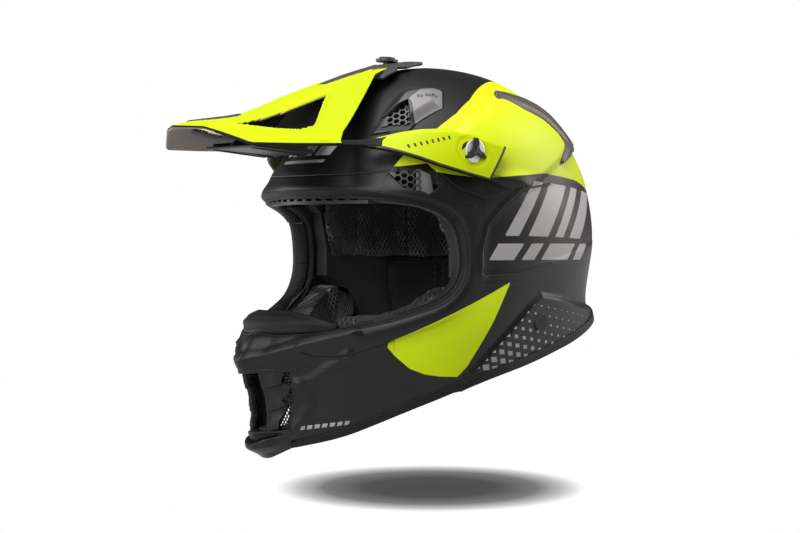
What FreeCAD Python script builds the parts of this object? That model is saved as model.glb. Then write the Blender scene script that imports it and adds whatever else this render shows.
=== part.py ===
import FreeCAD, Part
import math
import os
from FreeCAD import Rotation, Vector

os.makedirs("parts", exist_ok=True)

# ---------------------------------------------------------------- frame
# Millimetres. The helmet stands as it is worn: it faces -Y, +X is the
# wearer's left and +Z is up. The origin is the middle of the head at eye
# level.

# ---------------------------------------------------------------- outer form
# The outer form is a stack of closed, tilted sections from below the neck
# edge to the crown. Each one gives its front point (y, z), its rear point
# (y, z), its widest point (x, y), its temple point (x, y) and the corner
# of its front (x, distance behind the front point).
FORM = [
    dict(front=(-150, -172), rear=(128, -76), wide=(98, 10), temple=(76, -88), corner=(28, 14)),
    dict(front=(-166, -143), rear=(137, -42), wide=(106, 10), temple=(83, -92), corner=(30, 14)),
    dict(front=(-184, -130), rear=(139, -32), wide=(110, 8), temple=(88, -95), corner=(30, 16)),
    dict(front=(-188, -100), rear=(131, -18), wide=(115, 5), temple=(93, -98), corner=(32, 17)),
    dict(front=(-197, -66), rear=(129, -6), wide=(118, 2), temple=(98, -98), corner=(34, 18)),
    dict(front=(-172, -32), rear=(132, 12), wide=(121, 0), temple=(101, -94), corner=(44, 14)),
    dict(front=(-148, 12), rear=(135, 30), wide=(123, 0), temple=(104, -88), corner=(56, 13)),
    dict(front=(-143, 62), rear=(132, 58), wide=(122, 0), temple=(104, -84), corner=(62, 14)),
    dict(front=(-131, 90), rear=(124, 84), wide=(117, -1), temple=(98, -78), corner=(58, 13)),
    dict(front=(-112, 118), rear=(108, 112), wide=(105, -3), temple=(85, -70), corner=(50, 12)),
    dict(front=(-90, 142), rear=(85, 138), wide=(84, -4), temple=(67, -58), corner=(40, 9)),
    dict(front=(-62, 161), rear=(54, 159), wide=(56, -6), temple=(43, -43), corner=(26, 6)),
    dict(front=(-33, 170.5), rear=(18, 170), wide=(24, -8), temple=(19, -25), corner=(11, 3)),
]
CROWN_Y = -8.0            # the crown's highest point
CROWN_Z = 172.5
CROWN_FLAT = 3.0          # half width of the smallest section at the crown
DOME_BASE_Z = 20.0        # above this height the skin leans inwards
DOME_HEIGHT = 152.5
KEY_SPACING = [95.0, 100.0, 90.0, 62.0, 40.0]   # along half a section

# lower edge of the shell and outline of the eye port, side view (y, z)
NECK_EDGE = [(-215, -151), (-170, -143), (-150, -132.5), (-125, -119), (-100, -106), (-75, -95),
             (-50, -85), (-25, -77), (0, -70.5), (30, -62), (65, -52), (100, -41), (120, -36),
             (170, -28)]
EYE_PORT = [(-260, 66), (-170, 65), (-132, 64), (-110, 60.5), (-88, 55), (-71, 44), (-64.5, 24),
            (-65, 2), (-74, -13), (-97, -25), (-125, -34), (-155, -39), (-200, -39), (-260, -39)]

# ---------------------------------------------------------------- wall depths
SHELL_T = 3.6             # moulded shell
SKIN_GAP = 0.1            # clearance between bonded layers
CROWN_FOAM_IN = 36.0      # depth of the crown foam's inner face
LINER_IN = 44.0           # depth of the comfort liner's inner face
CHEEK_CORE_IN = 22.0      # depth of the cheek core's inner face
CHEEK_PAD_IN = 50.0       # depth of the cheek pad's inner face

# ---------------------------------------------------------------- peak
PIVOT_Y = -56.0           # side screws, the axis the peak tilts about
PIVOT_Z = 97.5
PEAK_DOWN = 8.0           # degrees the peak tips down from rest, its top stop
ARM_GAP = 6.8             # from the shell to the side arm
ARM_T = 3.2
PEAK_T = 2.6              # wall of the peak
SCREW_R = 3.0             # shank of the peak screws
RUN = 0.06                # radial running clearance
TOP_SCREW_Y = -50.0       # centre of the tongue's slot
TONGUE_R = 74.0           # from the pivot axis to the tongue's top face
HEAD_GAP = 0.35           # from a screw's head to what turns under it
TOP_HEAD_GAP = 2.6        # under the top screw's head, where the flat tongue tilts

# ---------------------------------------------------------------- chin strap
STRAP_PIVOT_Y = 12.0
STRAP_PIVOT_Z = -36.0
STRAP_LEAN = 56.0         # degrees the hanging loop leans forwards
STRAP_W = 24.0
STRAP_T = 2.0
SLEEVE_T = 6.2            # padded sleeve round the webbing

EX = Vector(1, 0, 0)
EY = Vector(0, 1, 0)
EZ = Vector(0, 0, 1)
ORIGIN = Vector(0, 0, 0)


# ================================================================ helpers
def form_section(station, depth):
    """Key points of one section, moved inwards by depth."""
    yf, zf = station["front"]
    yr, zr = station["rear"]
    xw, yw = station["wide"]
    xt, yt = station["temple"]
    xc, back = station["corner"]
    lean = min(1.0, max(0.0, ((zf + zr) / 2 - DOME_BASE_Z) / DOME_HEIGHT))
    side = depth * math.sqrt(1 - lean * lean)
    drop = depth * lean
    yf, yr = yf + side, yr - side
    xw = xw - side
    half = [(0, yr), (0.707 * xw, yw + 0.74 * (yr - yw)), (xw, yw),
            (xt - 0.95 * side, yt + 0.35 * side), (xc - 0.45 * side, yf + back), (0, yf)]
    slope = (zr - zf) / (yr - yf)
    ring = half + [(-x, y) for x, y in half[-2:0:-1]]
    return [Vector(x, y, zf - drop + slope * (y - yf)) for x, y in ring]


def form_wire(points):
    """Smooth closed curve through a section's key points."""
    knots = [0.0]
    for step in KEY_SPACING + KEY_SPACING[::-1]:
        knots.append(knots[-1] + step)
    curve = Part.BSplineCurve()
    curve.interpolate(Points=points, PeriodicFlag=True, Parameters=knots)
    return Part.Wire([curve.toShape()])


BODY_CACHE = {}


def body(depth):
    """Solid bounded by the outer form moved inwards by depth."""
    if depth not in BODY_CACHE:
        wires = [form_wire(form_section(station, depth)) for station in FORM]
        top = [Vector(p.x, p.y, 0) for p in form_section(FORM[-1], depth)]
        mid = Vector(0, CROWN_Y, 0)
        scale = CROWN_FLAT / max(p.x for p in top)
        cap = [mid + (p - mid) * scale + EZ * (CROWN_Z - depth) for p in top]
        wires.append(form_wire(cap))
        BODY_CACHE[depth] = Part.makeLoft(wires, True, False)
    return BODY_CACHE[depth]


def skin(outer, inner):
    """Layer of the form between two depths."""
    return body(outer).cut(body(inner))


def outline(points, smooth):
    """Closed wire through the points, straight or smooth."""
    if not smooth:
        return Part.makePolygon(points + [points[0]])
    curve = Part.BSplineCurve()
    curve.interpolate(Points=points, PeriodicFlag=True)
    return Part.Wire([curve.toShape()])


def side_block(points, x0, x1, smooth=False):
    """Prism along X over an outline given as (y, z)."""
    face = Part.Face(outline([Vector(x0, y, z) for y, z in points], smooth))
    return face.extrude(Vector(x1 - x0, 0, 0))


def front_block(points, y0, y1, smooth=False):
    """Prism along Y over an outline given as (x, z)."""
    face = Part.Face(outline([Vector(x, y0, z) for x, z in points], smooth))
    return face.extrude(Vector(0, y1 - y0, 0))


def plan_block(points, z0, z1, smooth=False):
    """Prism along Z over an outline given as (x, y)."""
    face = Part.Face(outline([Vector(x, y, z0) for x, y in points], smooth))
    return face.extrude(Vector(0, 0, z1 - z0))


def rod(centre, axis, radius, length):
    """Cylinder from centre along axis."""
    return Part.makeCylinder(radius, length, centre, axis)


def mirrored(shape):
    """The other hand of a shape."""
    return shape.mirror(ORIGIN, EX)


def turned(shape, degrees):
    """Copy of a shape turned about the peak's pivot axis."""
    copy = shape.copy()
    copy.rotate(Vector(0, PIVOT_Y, PIVOT_Z), EX, degrees)
    return copy


def spline_edge(points):
    """Smooth open edge through side-view points (y, z) at x = 0."""
    curve = Part.BSplineCurve()
    curve.interpolate(Points=[Vector(0, y, z) for y, z in points])
    return curve.toShape()


def above_neck(lift):
    """Everything above the neck edge raised by lift."""
    low = [(y, z + lift) for y, z in NECK_EDGE]
    edge = spline_edge(low)
    ends = [Vector(0, low[-1][0], low[-1][1]), Vector(0, low[-1][0], 230),
            Vector(0, low[0][0], 230), Vector(0, low[0][0], low[0][1])]
    face = Part.Face(Part.Wire([edge] + Part.makePolygon(ends).Edges))
    return face.translated(Vector(-160, 0, 0)).extrude(Vector(320, 0, 0))


def eye_block(grow):
    """Prism through the eye port, its outline moved outwards by grow."""
    moved = []
    for i, (y, z) in enumerate(EYE_PORT):
        y0, z0 = EYE_PORT[max(i - 1, 0)]
        y1, z1 = EYE_PORT[min(i + 1, len(EYE_PORT) - 1)]
        size = math.hypot(y1 - y0, z1 - z0)
        moved.append((y - grow * (z1 - z0) / size, z + grow * (y1 - y0) / size))
    first, last = moved[0], moved[-1]
    close = Part.makeLine(Vector(0, last[0], last[1]), Vector(0, first[0], first[1]))
    face = Part.Face(Part.Wire([spline_edge(moved), close]))
    return face.translated(Vector(-160, 0, 0)).extrude(Vector(320, 0, 0))


def export(node, shape):
    """Write one node as STEP."""
    solids = [s for s in shape.Solids if s.Volume > 1.0]
    shape = solids[0] if len(solids) == 1 else Part.makeCompound(solids)
    shape.exportStep("parts/%s.step" % node)
    box = shape.BoundBox
    print("%-24s %2d solid %10.0f mm3  x %7.1f %7.1f  y %7.1f %7.1f  z %7.1f %7.1f %s" % (
        node, len(solids), shape.Volume, box.XMin, box.XMax, box.YMin, box.YMax, box.ZMin, box.ZMax,
        "" if shape.isValid() else "INVALID"))


def layer(outer, inner, region):
    """Layer of the form between two depths, inside a region."""
    return body(outer).common(region).cut(body(inner))


def form_x(y, z):
    """Half width of the outer form at (y, z)."""
    line = Part.makeLine(Vector(0, y, z), Vector(200, y, z))
    return body(0).common(line).BoundBox.XMax


def form_y(x, z, depth):
    """Front of the form at (x, z), at a depth inside its skin."""
    line = Part.makeLine(Vector(x, -260, z), Vector(x, -60, z))
    return body(depth).common(line).BoundBox.YMin


def along(points, direction, out, back):
    """Prism through space points, along direction, from -back to +out."""
    direction = direction.normalize()
    middle = Vector(0, 0, 0)
    for p in points:
        middle = middle + p * (1.0 / len(points))
    flat = [p - direction * (p - middle).dot(direction) - direction * back for p in points]
    return Part.Face(Part.makePolygon(flat + [flat[0]])).extrude(direction * (out + back))


def hex_grid(centre, normal, up, pitch, hole, cols, rows, depth):
    """Block of hexagonal holes round centre, along normal."""
    normal = normal.normalize()
    side = normal.cross(up).normalize()
    up = side.cross(normal)
    holes = []
    for i in range(-cols, cols + 1):
        for j in range(-rows, rows + 1):
            shift = 0.5 * pitch if i % 2 else 0.0
            mid = centre + side * (i * pitch * 0.866) + up * (j * pitch + shift) - normal * depth
            ring = [mid + (side * math.cos(a) + up * math.sin(a)) * hole
                    for a in [math.radians(60 * k) for k in range(6)]]
            holes.append(Part.Face(Part.makePolygon(ring + [ring[0]])).extrude(normal * 2 * depth))
    return Part.makeCompound(holes)


def quad_loft(stations):
    """Plate through quads (x, z) at stations along Y."""
    wires = []
    for y, quad in stations:
        points = [Vector(x, y, z) for x, z in quad]
        wires.append(Part.makePolygon(points + [points[0]]))
    return Part.makeLoft(wires, True, True)


def smooth_path(points, steps=8):
    """Points of a smooth path through the given (x, r) points."""
    curve = Part.BSplineCurve()
    curve.interpolate(Points=[Vector(x, r, 0) for x, r in points])
    return [(p.x, p.y) for p in curve.discretize(steps * (len(points) - 1) + 1)]


STRAP_DOWN = Vector(0, -math.sin(math.radians(STRAP_LEAN)), -math.cos(math.radians(STRAP_LEAN)))
STRAP_ACROSS = Vector(0, math.cos(math.radians(STRAP_LEAN)), -math.sin(math.radians(STRAP_LEAN)))


def strap_point(x, r, across=0.0):
    """Point of the strap's own plane: x and distance r below the rivets' axis."""
    return Vector(x, STRAP_PIVOT_Y, STRAP_PIVOT_Z) + STRAP_DOWN * r + STRAP_ACROSS * across


def ribbon(points, thick, width):
    """Flat band of webbing that follows a path in the strap's plane."""
    path = smooth_path(points)
    sides = ([], [])
    for i, (x, r) in enumerate(path):
        x0, r0 = path[max(i - 1, 0)]
        x1, r1 = path[min(i + 1, len(path) - 1)]
        size = math.hypot(x1 - x0, r1 - r0)
        nx, nr = -(r1 - r0) / size, (x1 - x0) / size
        for side, hand in zip(sides, (1, -1)):
            side.append(strap_point(x + hand * nx * thick / 2, r + hand * nr * thick / 2, -width / 2))
    edges = []
    for side in sides:
        curve = Part.BSplineCurve()
        curve.interpolate(Points=side)
        edges.append(curve.toShape())
    edges.append(Part.makeLine(sides[0][0], sides[1][0]))
    edges.append(Part.makeLine(sides[0][-1], sides[1][-1]))
    face = Part.Face(Part.Wire(Part.__sortEdges__(edges)))
    return face.extrude(STRAP_ACROSS * width)


# ================================================================ shell cuts
CHIN_OPENING = [(-36, -73), (36, -73), (30, -123), (-30, -123)]
CHIN_FACE = (-260, -152)
TOP_VENT = [(50, -104, 113), (47, -89, 131), (44, -72, 146), (49, -63, 150), (60, -47, 151),
            (65, -46, 148), (77, -56, 134), (73, -81, 119), (73, -87, 114)]
TOP_VENT_OUT = Vector(0.52, -0.42, 0.74)
BROW_VENT = [(74, -112, 82), (92, -92, 84), (105, -77, 72), (102, -86, 63), (88, -105, 68)]
BROW_VENT_OUT = Vector(0.78, -0.6, 0.18)
EXHAUST = [(12, 106), (36, 104), (32, 116), (12, 119)]


def shrunk(points, factor):
    """Points moved towards their own middle."""
    n = len(points)
    mid = [sum(p[i] for p in points) / n for i in range(len(points[0]))]
    return [tuple(m + factor * (c - m) for c, m in zip(p, mid)) for p in points]


def vectors(points):
    return [Vector(*p) for p in points]


top_vent_hole = along(vectors(shrunk(TOP_VENT, 0.80)), TOP_VENT_OUT, 30, 40)
brow_vent_hole = along(vectors(shrunk(BROW_VENT, 0.86)), BROW_VENT_OUT, 30, 24)
exhaust_hole = front_block(EXHAUST, 60, 170)
pivot_x = form_x(PIVOT_Y, PIVOT_Z)
strap_x = form_x(STRAP_PIVOT_Y, STRAP_PIVOT_Z)
radial = Vector(0, TOP_SCREW_Y - PIVOT_Y, TONGUE_R)
radial = radial.normalize()
tongue_top = Vector(0, PIVOT_Y, PIVOT_Z) + radial * TONGUE_R
NUT_R = 5.2
RIVET_R = 4.0

shell = skin(0, SHELL_T).common(above_neck(0)).cut(eye_block(0))
shell = shell.cut(front_block(CHIN_OPENING, *CHIN_FACE))
for tool in (top_vent_hole, brow_vent_hole, exhaust_hole,
             rod(Vector(60, PIVOT_Y, PIVOT_Z), EX, NUT_R + 0.1, 80),
             rod(Vector(90, STRAP_PIVOT_Y, STRAP_PIVOT_Z), EX, RIVET_R + 0.1, 60)):
    shell = shell.cut(tool).cut(mirrored(tool))
shell = shell.cut(rod(tongue_top - radial * 40, radial, NUT_R + 0.1, 60))
export("outer_shell", shell)

# ================================================================ edge trims
GUARD = [(-62, -54), (62, -54), (62, -36), (44, -30), (22, -25.5), (-22, -25.5), (-44, -30),
         (-62, -36)]
rim_ring = eye_block(-0.1).cut(eye_block(-2.2))
lip_ring = eye_block(3.0).cut(eye_block(-1.2))
eye_trim = body(-1.3).common(rim_ring).cut(body(SHELL_T + 1.5))
eye_trim = eye_trim.fuse(body(-1.1).common(lip_ring).cut(body(-0.1)))
eye_trim = eye_trim.cut(front_block(GUARD, -262, -110))
export("eye_port_trim", eye_trim)

band = above_neck(-1.5).cut(above_neck(-0.1))
outer_band = above_neck(-1.0).cut(above_neck(5.0))
neck_trim = body(-1.3).common(band).cut(body(SHELL_T + 1.5))
neck_trim = neck_trim.fuse(body(-1.1).common(outer_band).cut(body(-0.1)))
export("neck_edge_trim", neck_trim)

# ================================================================ foams
CROWN_REGION = [(-170, 74), (-118, 73), (-88, 67), (-60, 52), (-51, 24), (-51, 0), (-20, -12),
                (-10, -46), (60, -34), (100, -24), (160, -12), (160, 200), (-170, 200)]
strap_pocket = Part.makeBox(60, 70, 60, Vector(90, -32, -70))
foam_cuts = [top_vent_hole, brow_vent_hole, exhaust_hole, strap_pocket,
             rod(Vector(pivot_x - 18, PIVOT_Y, PIVOT_Z), EX, 10.0, 60)]
crown = layer(SHELL_T + SKIN_GAP, CROWN_FOAM_IN, side_block(CROWN_REGION, -160, 160))
for tool in foam_cuts:
    crown = crown.cut(tool).cut(mirrored(tool))
crown = crown.cut(rod(tongue_top - radial * 24, radial, 10.0, 60))
export("crown_foam", crown)

CHIN_REGION = [(-126, -56), (-215, -56), (-215, -134), (-165, -131), (-150, -124), (-126, -110)]
duct = front_block([(-42, -150), (42, -150), (42, -50), (-42, -50)], -260, -100)
chin_foam = layer(SHELL_T + 1.5, 22.0, side_block(CHIN_REGION, -160, 160)).cut(duct)
export("chin_foam", chin_foam)

CHEEK_REGION = [(-122, -30), (-125, -60), (-122, -98), (-104, -88), (-80, -72), (-60, -58),
                (-40, -42), (-25, -34), (-25, -16), (-54, -4), (-76, -18), (-98, -29)]
cheek_prism = side_block(CHEEK_REGION, 20, 160)
core = layer(SHELL_T + 1.5, CHEEK_CORE_IN, cheek_prism)
pad_prism = side_block(shrunk(CHEEK_REGION, 0.97), 20, 160)
pad = layer(CHEEK_CORE_IN + SKIN_GAP, CHEEK_PAD_IN, pad_prism)
snap_spots = [(-100, -62), (-72, -44), (-46, -24)]
snaps = []
for y, z in snap_spots:
    at = form_x(y, z) - CHEEK_CORE_IN * 1.05
    core = core.cut(rod(Vector(at - 8, y, z), EX, 5.1, 13.1))
    pad = pad.cut(rod(Vector(at - 6, y, z), EX, 5.1, 13.1))
    snaps.append(rod(Vector(at - 5.9, y, z), EX, 5.0, 10.8))
snap_group = Part.makeCompound(snaps)
for side, hand in (("left", lambda s: s), ("right", mirrored)):
    export("cheek_core_" + side, hand(core))
    export("cheek_pad_" + side, hand(pad))
    export("cheek_snaps_" + side, hand(snap_group))

LINER_REGION = [(-66, 60), (-46, 14), (160, 14), (160, 200), (-160, 200), (-160, 97), (-96, 96)]
liner = layer(CROWN_FOAM_IN + SKIN_GAP, LINER_IN, side_block(LINER_REGION, -160, 160))
export("crown_liner", liner)
FOREHEAD_REGION = [(-160, 68), (-112, 68), (-86, 63), (-69, 55), (-68, 58.5), (-98.5, 94.5),
                   (-160, 94.5)]
forehead = layer(CROWN_FOAM_IN + SKIN_GAP, LINER_IN + 2, side_block(FOREHEAD_REGION, -160, 160))
export("forehead_pad", forehead)
ROLL_REGION = [(14, -40), (60, -32), (160, -12), (160, 13), (14, 13)]
roll = layer(CROWN_FOAM_IN + SKIN_GAP, LINER_IN + 6, side_block(ROLL_REGION, -160, 160))
export("neck_roll", roll)

# ================================================================ brow and chin
guard_top = front_block([(-60, -38), (60, -38), (60, -37), (44, -31), (22, -26.5), (-22, -26.5),
                         (-44, -31), (-60, -37)], -240, -112)
guard_root = front_block([(-58, -51), (58, -51), (58, -37.5), (-58, -37.5)], -241, -114)
guard = layer(-1.6, 15.0, guard_top).fuse(layer(SHELL_T + SKIN_GAP, 15.0, guard_root))
export("breath_guard", guard)

STRIP_FACE = [(-66, 57), (66, 57), (66, 67), (-66, 67)]
brow_strip = layer(SHELL_T + 1.5, 12.0, front_block(STRIP_FACE, -260, -96)).cut(eye_trim)
for i in range(-5, 6):
    slot = Part.makeBox(6.5, 60, 3.2, Vector(11.0 * i - 3.25, -170, 59.4))
    brow_strip = brow_strip.cut(slot)
export("brow_vent_strip", brow_strip)

housing_block = front_block(shrunk(CHIN_OPENING, 0.985), *CHIN_FACE)
window = [(20, -79), (32.5, -81), (27.5, -117.5), (19, -119)]
housing = layer(-0.6, 12.0, housing_block)
middle_slot = [(-15, -76), (15, -76), (14, -120), (-14, -120)]
housing = housing.cut(front_block(middle_slot, *CHIN_FACE))
for hand in (lambda s: s, mirrored):
    housing = housing.cut(hand(front_block(window, *CHIN_FACE)))
export("chin_vent_housing", housing)
fins = []
for z in (-90, -104):
    bar = [(17, z), (33, z + 3), (33, z + 0.6), (17, z - 2.4)]
    cut_window = front_block(shrunk(window, 0.99), *CHIN_FACE)
    fins.append(layer(2.0, 10.0, front_block(bar, *CHIN_FACE).common(cut_window)))
louvres = Part.makeCompound(fins)
MESH_IN, MESH_OUT = 16.2, 34.0
near_y = max(form_y(MESH_IN, z, 12.4) for z in (-76, -98, -120))
far_y = max(form_y(MESH_OUT, z, 12.4) for z in (-76, -98, -120))
mesh_plan = [(MESH_IN, near_y), (MESH_OUT, far_y), (MESH_OUT, far_y + 1.6), (MESH_IN, near_y + 1.6)]
mesh_plate = plan_block(mesh_plan, -120, -76)
mesh_normal = Vector(far_y - near_y, MESH_IN - MESH_OUT, 0)
mesh_mid = Vector((MESH_IN + MESH_OUT) / 2, (near_y + far_y) / 2 + 0.8, -98)
mesh_plate = mesh_plate.cut(hex_grid(mesh_mid, mesh_normal, EZ, 5.4, 2.4, 1, 3, 6))
for side, hand in (("left", lambda s: s), ("right", mirrored)):
    export("chin_louvres_" + side, hand(louvres))
    export("chin_grille_" + side, hand(mesh_plate))

LIP = [(-27, -136.5), (27, -136.5), (31, -124.5), (-31, -124.5)]
lip = layer(-4.5, -0.1, front_block(LIP, -230, -150))
export("chin_lower_lip", lip)

# ================================================================ vents
scoop_out = along(vectors(TOP_VENT), TOP_VENT_OUT, 30, 30)
scoop_in = along(vectors(shrunk(TOP_VENT, 0.86)), TOP_VENT_OUT, 30, 30)
mouth = along(vectors([(40, -110, 106), (84, -94, 106), (80, -66, 133), (44, -84, 140)]),
              TOP_VENT_OUT, 30, 30)
scoop = layer(-5.5, -0.1, scoop_out).cut(scoop_in.common(body(-3.4))).cut(mouth.common(scoop_in))
grille_centre = Vector(60, -82, 129)
top_prism = along(vectors(shrunk(TOP_VENT, 0.795)), TOP_VENT_OUT, 30, 30)
top_grille = layer(SHELL_T - 2.6, SHELL_T - 0.6, top_prism)
top_grille = top_grille.cut(hex_grid(grille_centre, TOP_VENT_OUT, EZ, 5.6, 2.5, 2, 3, 20))
brow_prism = along(vectors(shrunk(BROW_VENT, 0.855)), BROW_VENT_OUT, 30, 20)
brow_holes = hex_grid(Vector(92, -94, 73), BROW_VENT_OUT, EZ, 5.6, 2.5, 3, 1, 20)
brow_grille = layer(0.8, 2.8, brow_prism).cut(brow_holes)
for side, hand in (("left", lambda s: s), ("right", mirrored)):
    export("top_vent_scoop_" + side, hand(scoop))
    export("top_vent_grille_" + side, hand(top_grille))
    export("brow_vent_grille_" + side, hand(brow_grille))

SPOILER_SIDE = [(-10, 190), (-10, 120), (34, 110), (42, 89), (112, 96), (160, 96), (160, 190)]
SPOILER_OUTER = [(70, 2), (78, 1), (86, 46), (92, 62), (104, 51), (110, 42), (122, 60), (100, 110),
                 (40, 140)]
SPOILER_INNER = [(44, 86), (64, 60)]
spoiler_plan = SPOILER_OUTER + [(-x, y) for x, y in SPOILER_OUTER[::-1]]
spoiler_plan = spoiler_plan + [(-x, y) for x, y in SPOILER_INNER[::-1]] + SPOILER_INNER
spoiler = layer(-6.0, -0.1, plan_block(spoiler_plan, 60, 190))
spoiler = spoiler.common(side_block(SPOILER_SIDE, -130, 130))
for hand in (lambda s: s, mirrored):
    spoiler = spoiler.cut(hand(exhaust_hole))
export("rear_spoiler", spoiler)
exhaust = layer(SHELL_T - 2.6, SHELL_T - 0.6, front_block(shrunk(EXHAUST, 0.97), 60, 160))
exhaust = exhaust.cut(hex_grid(Vector(23, 106, 111), EY, EZ, 5.6, 2.5, 1, 0, 60))
for side, hand in (("left", lambda s: s), ("right", mirrored)):
    export("exhaust_grille_" + side, hand(exhaust))

# ================================================================ peak
RIDGE = [(-264, 114.5), (-226, 121), (-190, 127), (-165, 134.5), (-137, 144.5), (-110, 154.5),
         (-82, 164), (-62, 170.0)]
CREASE = [(22, 110.5), (25, 118), (25, 124.5), (25, 132.5), (25, 143.5), (25, 153), (25, 161.5),
          (25, 166)]
EDGE = [(59, 99.5), (57, 101.7), (61.5, 102), (65.5, 102.5), (70, 103.2), (75, 104), (80, 105),
        (84, 106)]
PLAN_REAR = [(66, -149), (58, -140), (25, -82), (15, -62)]
PLAN_FRONT = [(0, -258), (57, -226), (62, -190), (68, -149)]


def roof_section(y, ridge_z, crease, edge):
    """Closed inverted-V section of the peak's roof."""
    xc, zc = crease
    xe, ze = edge
    top = [(-xe, ze), (-xc, zc), (0, ridge_z), (xc, zc), (xe, ze)]
    low = [(xe - 1.6, ze - PEAK_T), (xc - 0.8, zc - PEAK_T), (0, ridge_z - PEAK_T),
           (0.8 - xc, zc - PEAK_T), (1.6 - xe, ze - PEAK_T)]
    points = [Vector(x, y, z) for x, z in top + low]
    return Part.makePolygon(points + [points[0]])


roof_wires = [roof_section(y, z, c, e) for (y, z), c, e in zip(RIDGE, CREASE, EDGE)]
roof = Part.makeLoft(roof_wires, True, True)
half_plan = PLAN_FRONT + PLAN_REAR
plan = half_plan + [(-x, y) for x, y in half_plan[::-1][:-1]]
roof = roof.common(plan_block(plan, 60, 200))
WINDOW = [(31, -212), (29, -140), (33, -128), (50, -148), (52, -168)]
peak = roof
for hand in (1, -1):
    flat = plan_block([(hand * x, y) for x, y in WINDOW], 90, 190)
    peak = peak.cut(flat)

BRIDGE = [(-168, [(60.5, 100.0), (65, 100.0), (64, 103.5), (59.5, 103.5)]),
          (-150, [(63, 100.2), (68.2, 100.2), (66, 104.6), (61, 104.6)]),
          (-130, [(64, 100.2), (69, 100.2), (66.5, 105.5), (61.5, 105.5)]),
          (-112, [(70.5, 100.2), (75, 100), (71, 107), (66.5, 107.5)]),
          (-97, [(86, 97.0), (91, 96.5), (81, 112.5), (76, 113)])]
ARM_OUTLINE = [(-114, 101), (-110, 107), (-96, 113.3), (-86, 115), (-72, 116), (-52, 112),
               (-25, 103), (-47, 74.4), (-68, 81), (-88, 90), (-102, 98)]
arm = layer(-ARM_GAP - ARM_T, -ARM_GAP, side_block(ARM_OUTLINE, 40, 160))
arm_face = form_x(PIVOT_Y, PIVOT_Z) + ARM_GAP + 1.0
boss = rod(Vector(arm_face, PIVOT_Y, PIVOT_Z), EX, 12.5, ARM_T + 2.0)
arm = arm.fuse(boss).cut(rod(Vector(arm_face + ARM_T + 0.6, PIVOT_Y, PIVOT_Z), EX, 11.0, 30))
arm = arm.cut(rod(Vector(arm_face - 20, PIVOT_Y, PIVOT_Z), EX, 12.6, 20))
arm = arm.cut(rod(Vector(60, PIVOT_Y, PIVOT_Z), EX, SCREW_R + RUN, 90))
bridge = quad_loft(BRIDGE)
for hand in (lambda s: s, mirrored):
    peak = peak.fuse(hand(bridge)).fuse(hand(arm))

across = Vector(0, radial.z, -radial.y)     # along the tongue, towards the rear
tongue_mid = tongue_top - radial * 3.0
TONGUE = [(-18, -26), (-12, 14), (-8, 24), (8, 24), (12, 14), (18, -26), (-18, -26)]
tongue_wire = Part.makePolygon([tongue_mid + EX * x + across * d for x, d in TONGUE])
tongue = Part.Face(tongue_wire).extrude(radial * 3.0)
shift_rear = math.radians(PEAK_DOWN) * TONGUE_R + SCREW_R + 0.6
shift_front = SCREW_R + 0.6
slot = Part.makeBox(2 * (SCREW_R + 0.4), shift_rear + shift_front, 30)
slot.translate(Vector(-SCREW_R - 0.4, -shift_front, -15))
slot.Placement = FreeCAD.Placement(tongue_top, Rotation(EZ, radial)).multiply(slot.Placement)
neck = quad_loft([(-86, [(-24, 158), (24, 158), (24, 162.5), (-24, 162.5)]),
                  (-66, [(-17.5, 164.4), (17.5, 164.4), (17.5, 169.0), (-17.5, 169.0)])])
peak = peak.fuse(neck).fuse(tongue).cut(slot)
for k in range(5):                          # clear of the shell over the whole tilt
    peak = peak.cut(turned(body(-0.45), -PEAK_DOWN * k / 4))
peak = peak.removeSplitter()
export("peak", peak)

deck = quad_loft([(-204, [(-52, 98.6), (52, 98.6), (52, 100.6), (-52, 100.6)]),
                  (-176, [(-57, 94.5), (57, 94.5), (57, 97), (-57, 97)]),
                  (-150, [(-52, 91), (52, 91), (52, 93.5), (-52, 93.5)])])
ribs = []
for x in (-58, 55):
    rib = side_block([(-200, 99), (-176, 96), (-160, 93), (-160, 99.9), (-200, 99.9)], x, x + 3)
    ribs.append(rib)
deck = deck.fuse(ribs[0]).fuse(ribs[1]).cut(roof)
export("peak_lower_deck", deck)

braces = []
for hand in (1, -1):
    plate = side_block([(-196, 97.5), (-150, 94), (-126, 140), (-134, 143), (-162, 131)],
                       hand * 20 - 1.2, hand * 20 + 1.2)
    braces.append(plate.cut(roof).cut(deck))
export("peak_braces", Part.makeCompound(braces))

strip = quad_loft([(-120, [(-9, 151.2), (9, 151.2), (9, 152.9), (-9, 152.9)]),
                   (-70, [(-13, 168), (13, 168), (13, 169.9), (-13, 169.9)])]).cut(peak)
export("peak_centre_strip", strip)

# ================================================================ peak screws
head_x = arm_face + ARM_T + 0.6 + HEAD_GAP
head = rod(Vector(head_x, PIVOT_Y, PIVOT_Z), EX, 9.6, 4.6)
for k in range(3):
    angle = math.radians(120 * k + 30)
    at = Vector(head_x + 2.2, PIVOT_Y + 9.4 * math.cos(angle), PIVOT_Z + 9.4 * math.sin(angle))
    head = head.cut(rod(at, EX, 3.6, 6))
shank = rod(Vector(pivot_x - 12, PIVOT_Y, PIVOT_Z), EX, SCREW_R, head_x + 1 - pivot_x + 12)
side_screw = head.fuse(shank)
spacer = rod(Vector(pivot_x - 12, PIVOT_Y, PIVOT_Z), EX, 8.0, arm_face - HEAD_GAP - pivot_x + 12)
spacer = spacer.cut(body(-0.05)).cut(rod(Vector(60, PIVOT_Y, PIVOT_Z), EX, SCREW_R + RUN, 80))
nut = rod(Vector(pivot_x - 14, PIVOT_Y, PIVOT_Z), EX, 9.0, 3.0)
nut = nut.fuse(rod(Vector(pivot_x - 14, PIVOT_Y, PIVOT_Z), EX, NUT_R, 12.5))
nut = nut.cut(rod(Vector(60, PIVOT_Y, PIVOT_Z), EX, SCREW_R + RUN, 80)).common(body(0.05))
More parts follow.
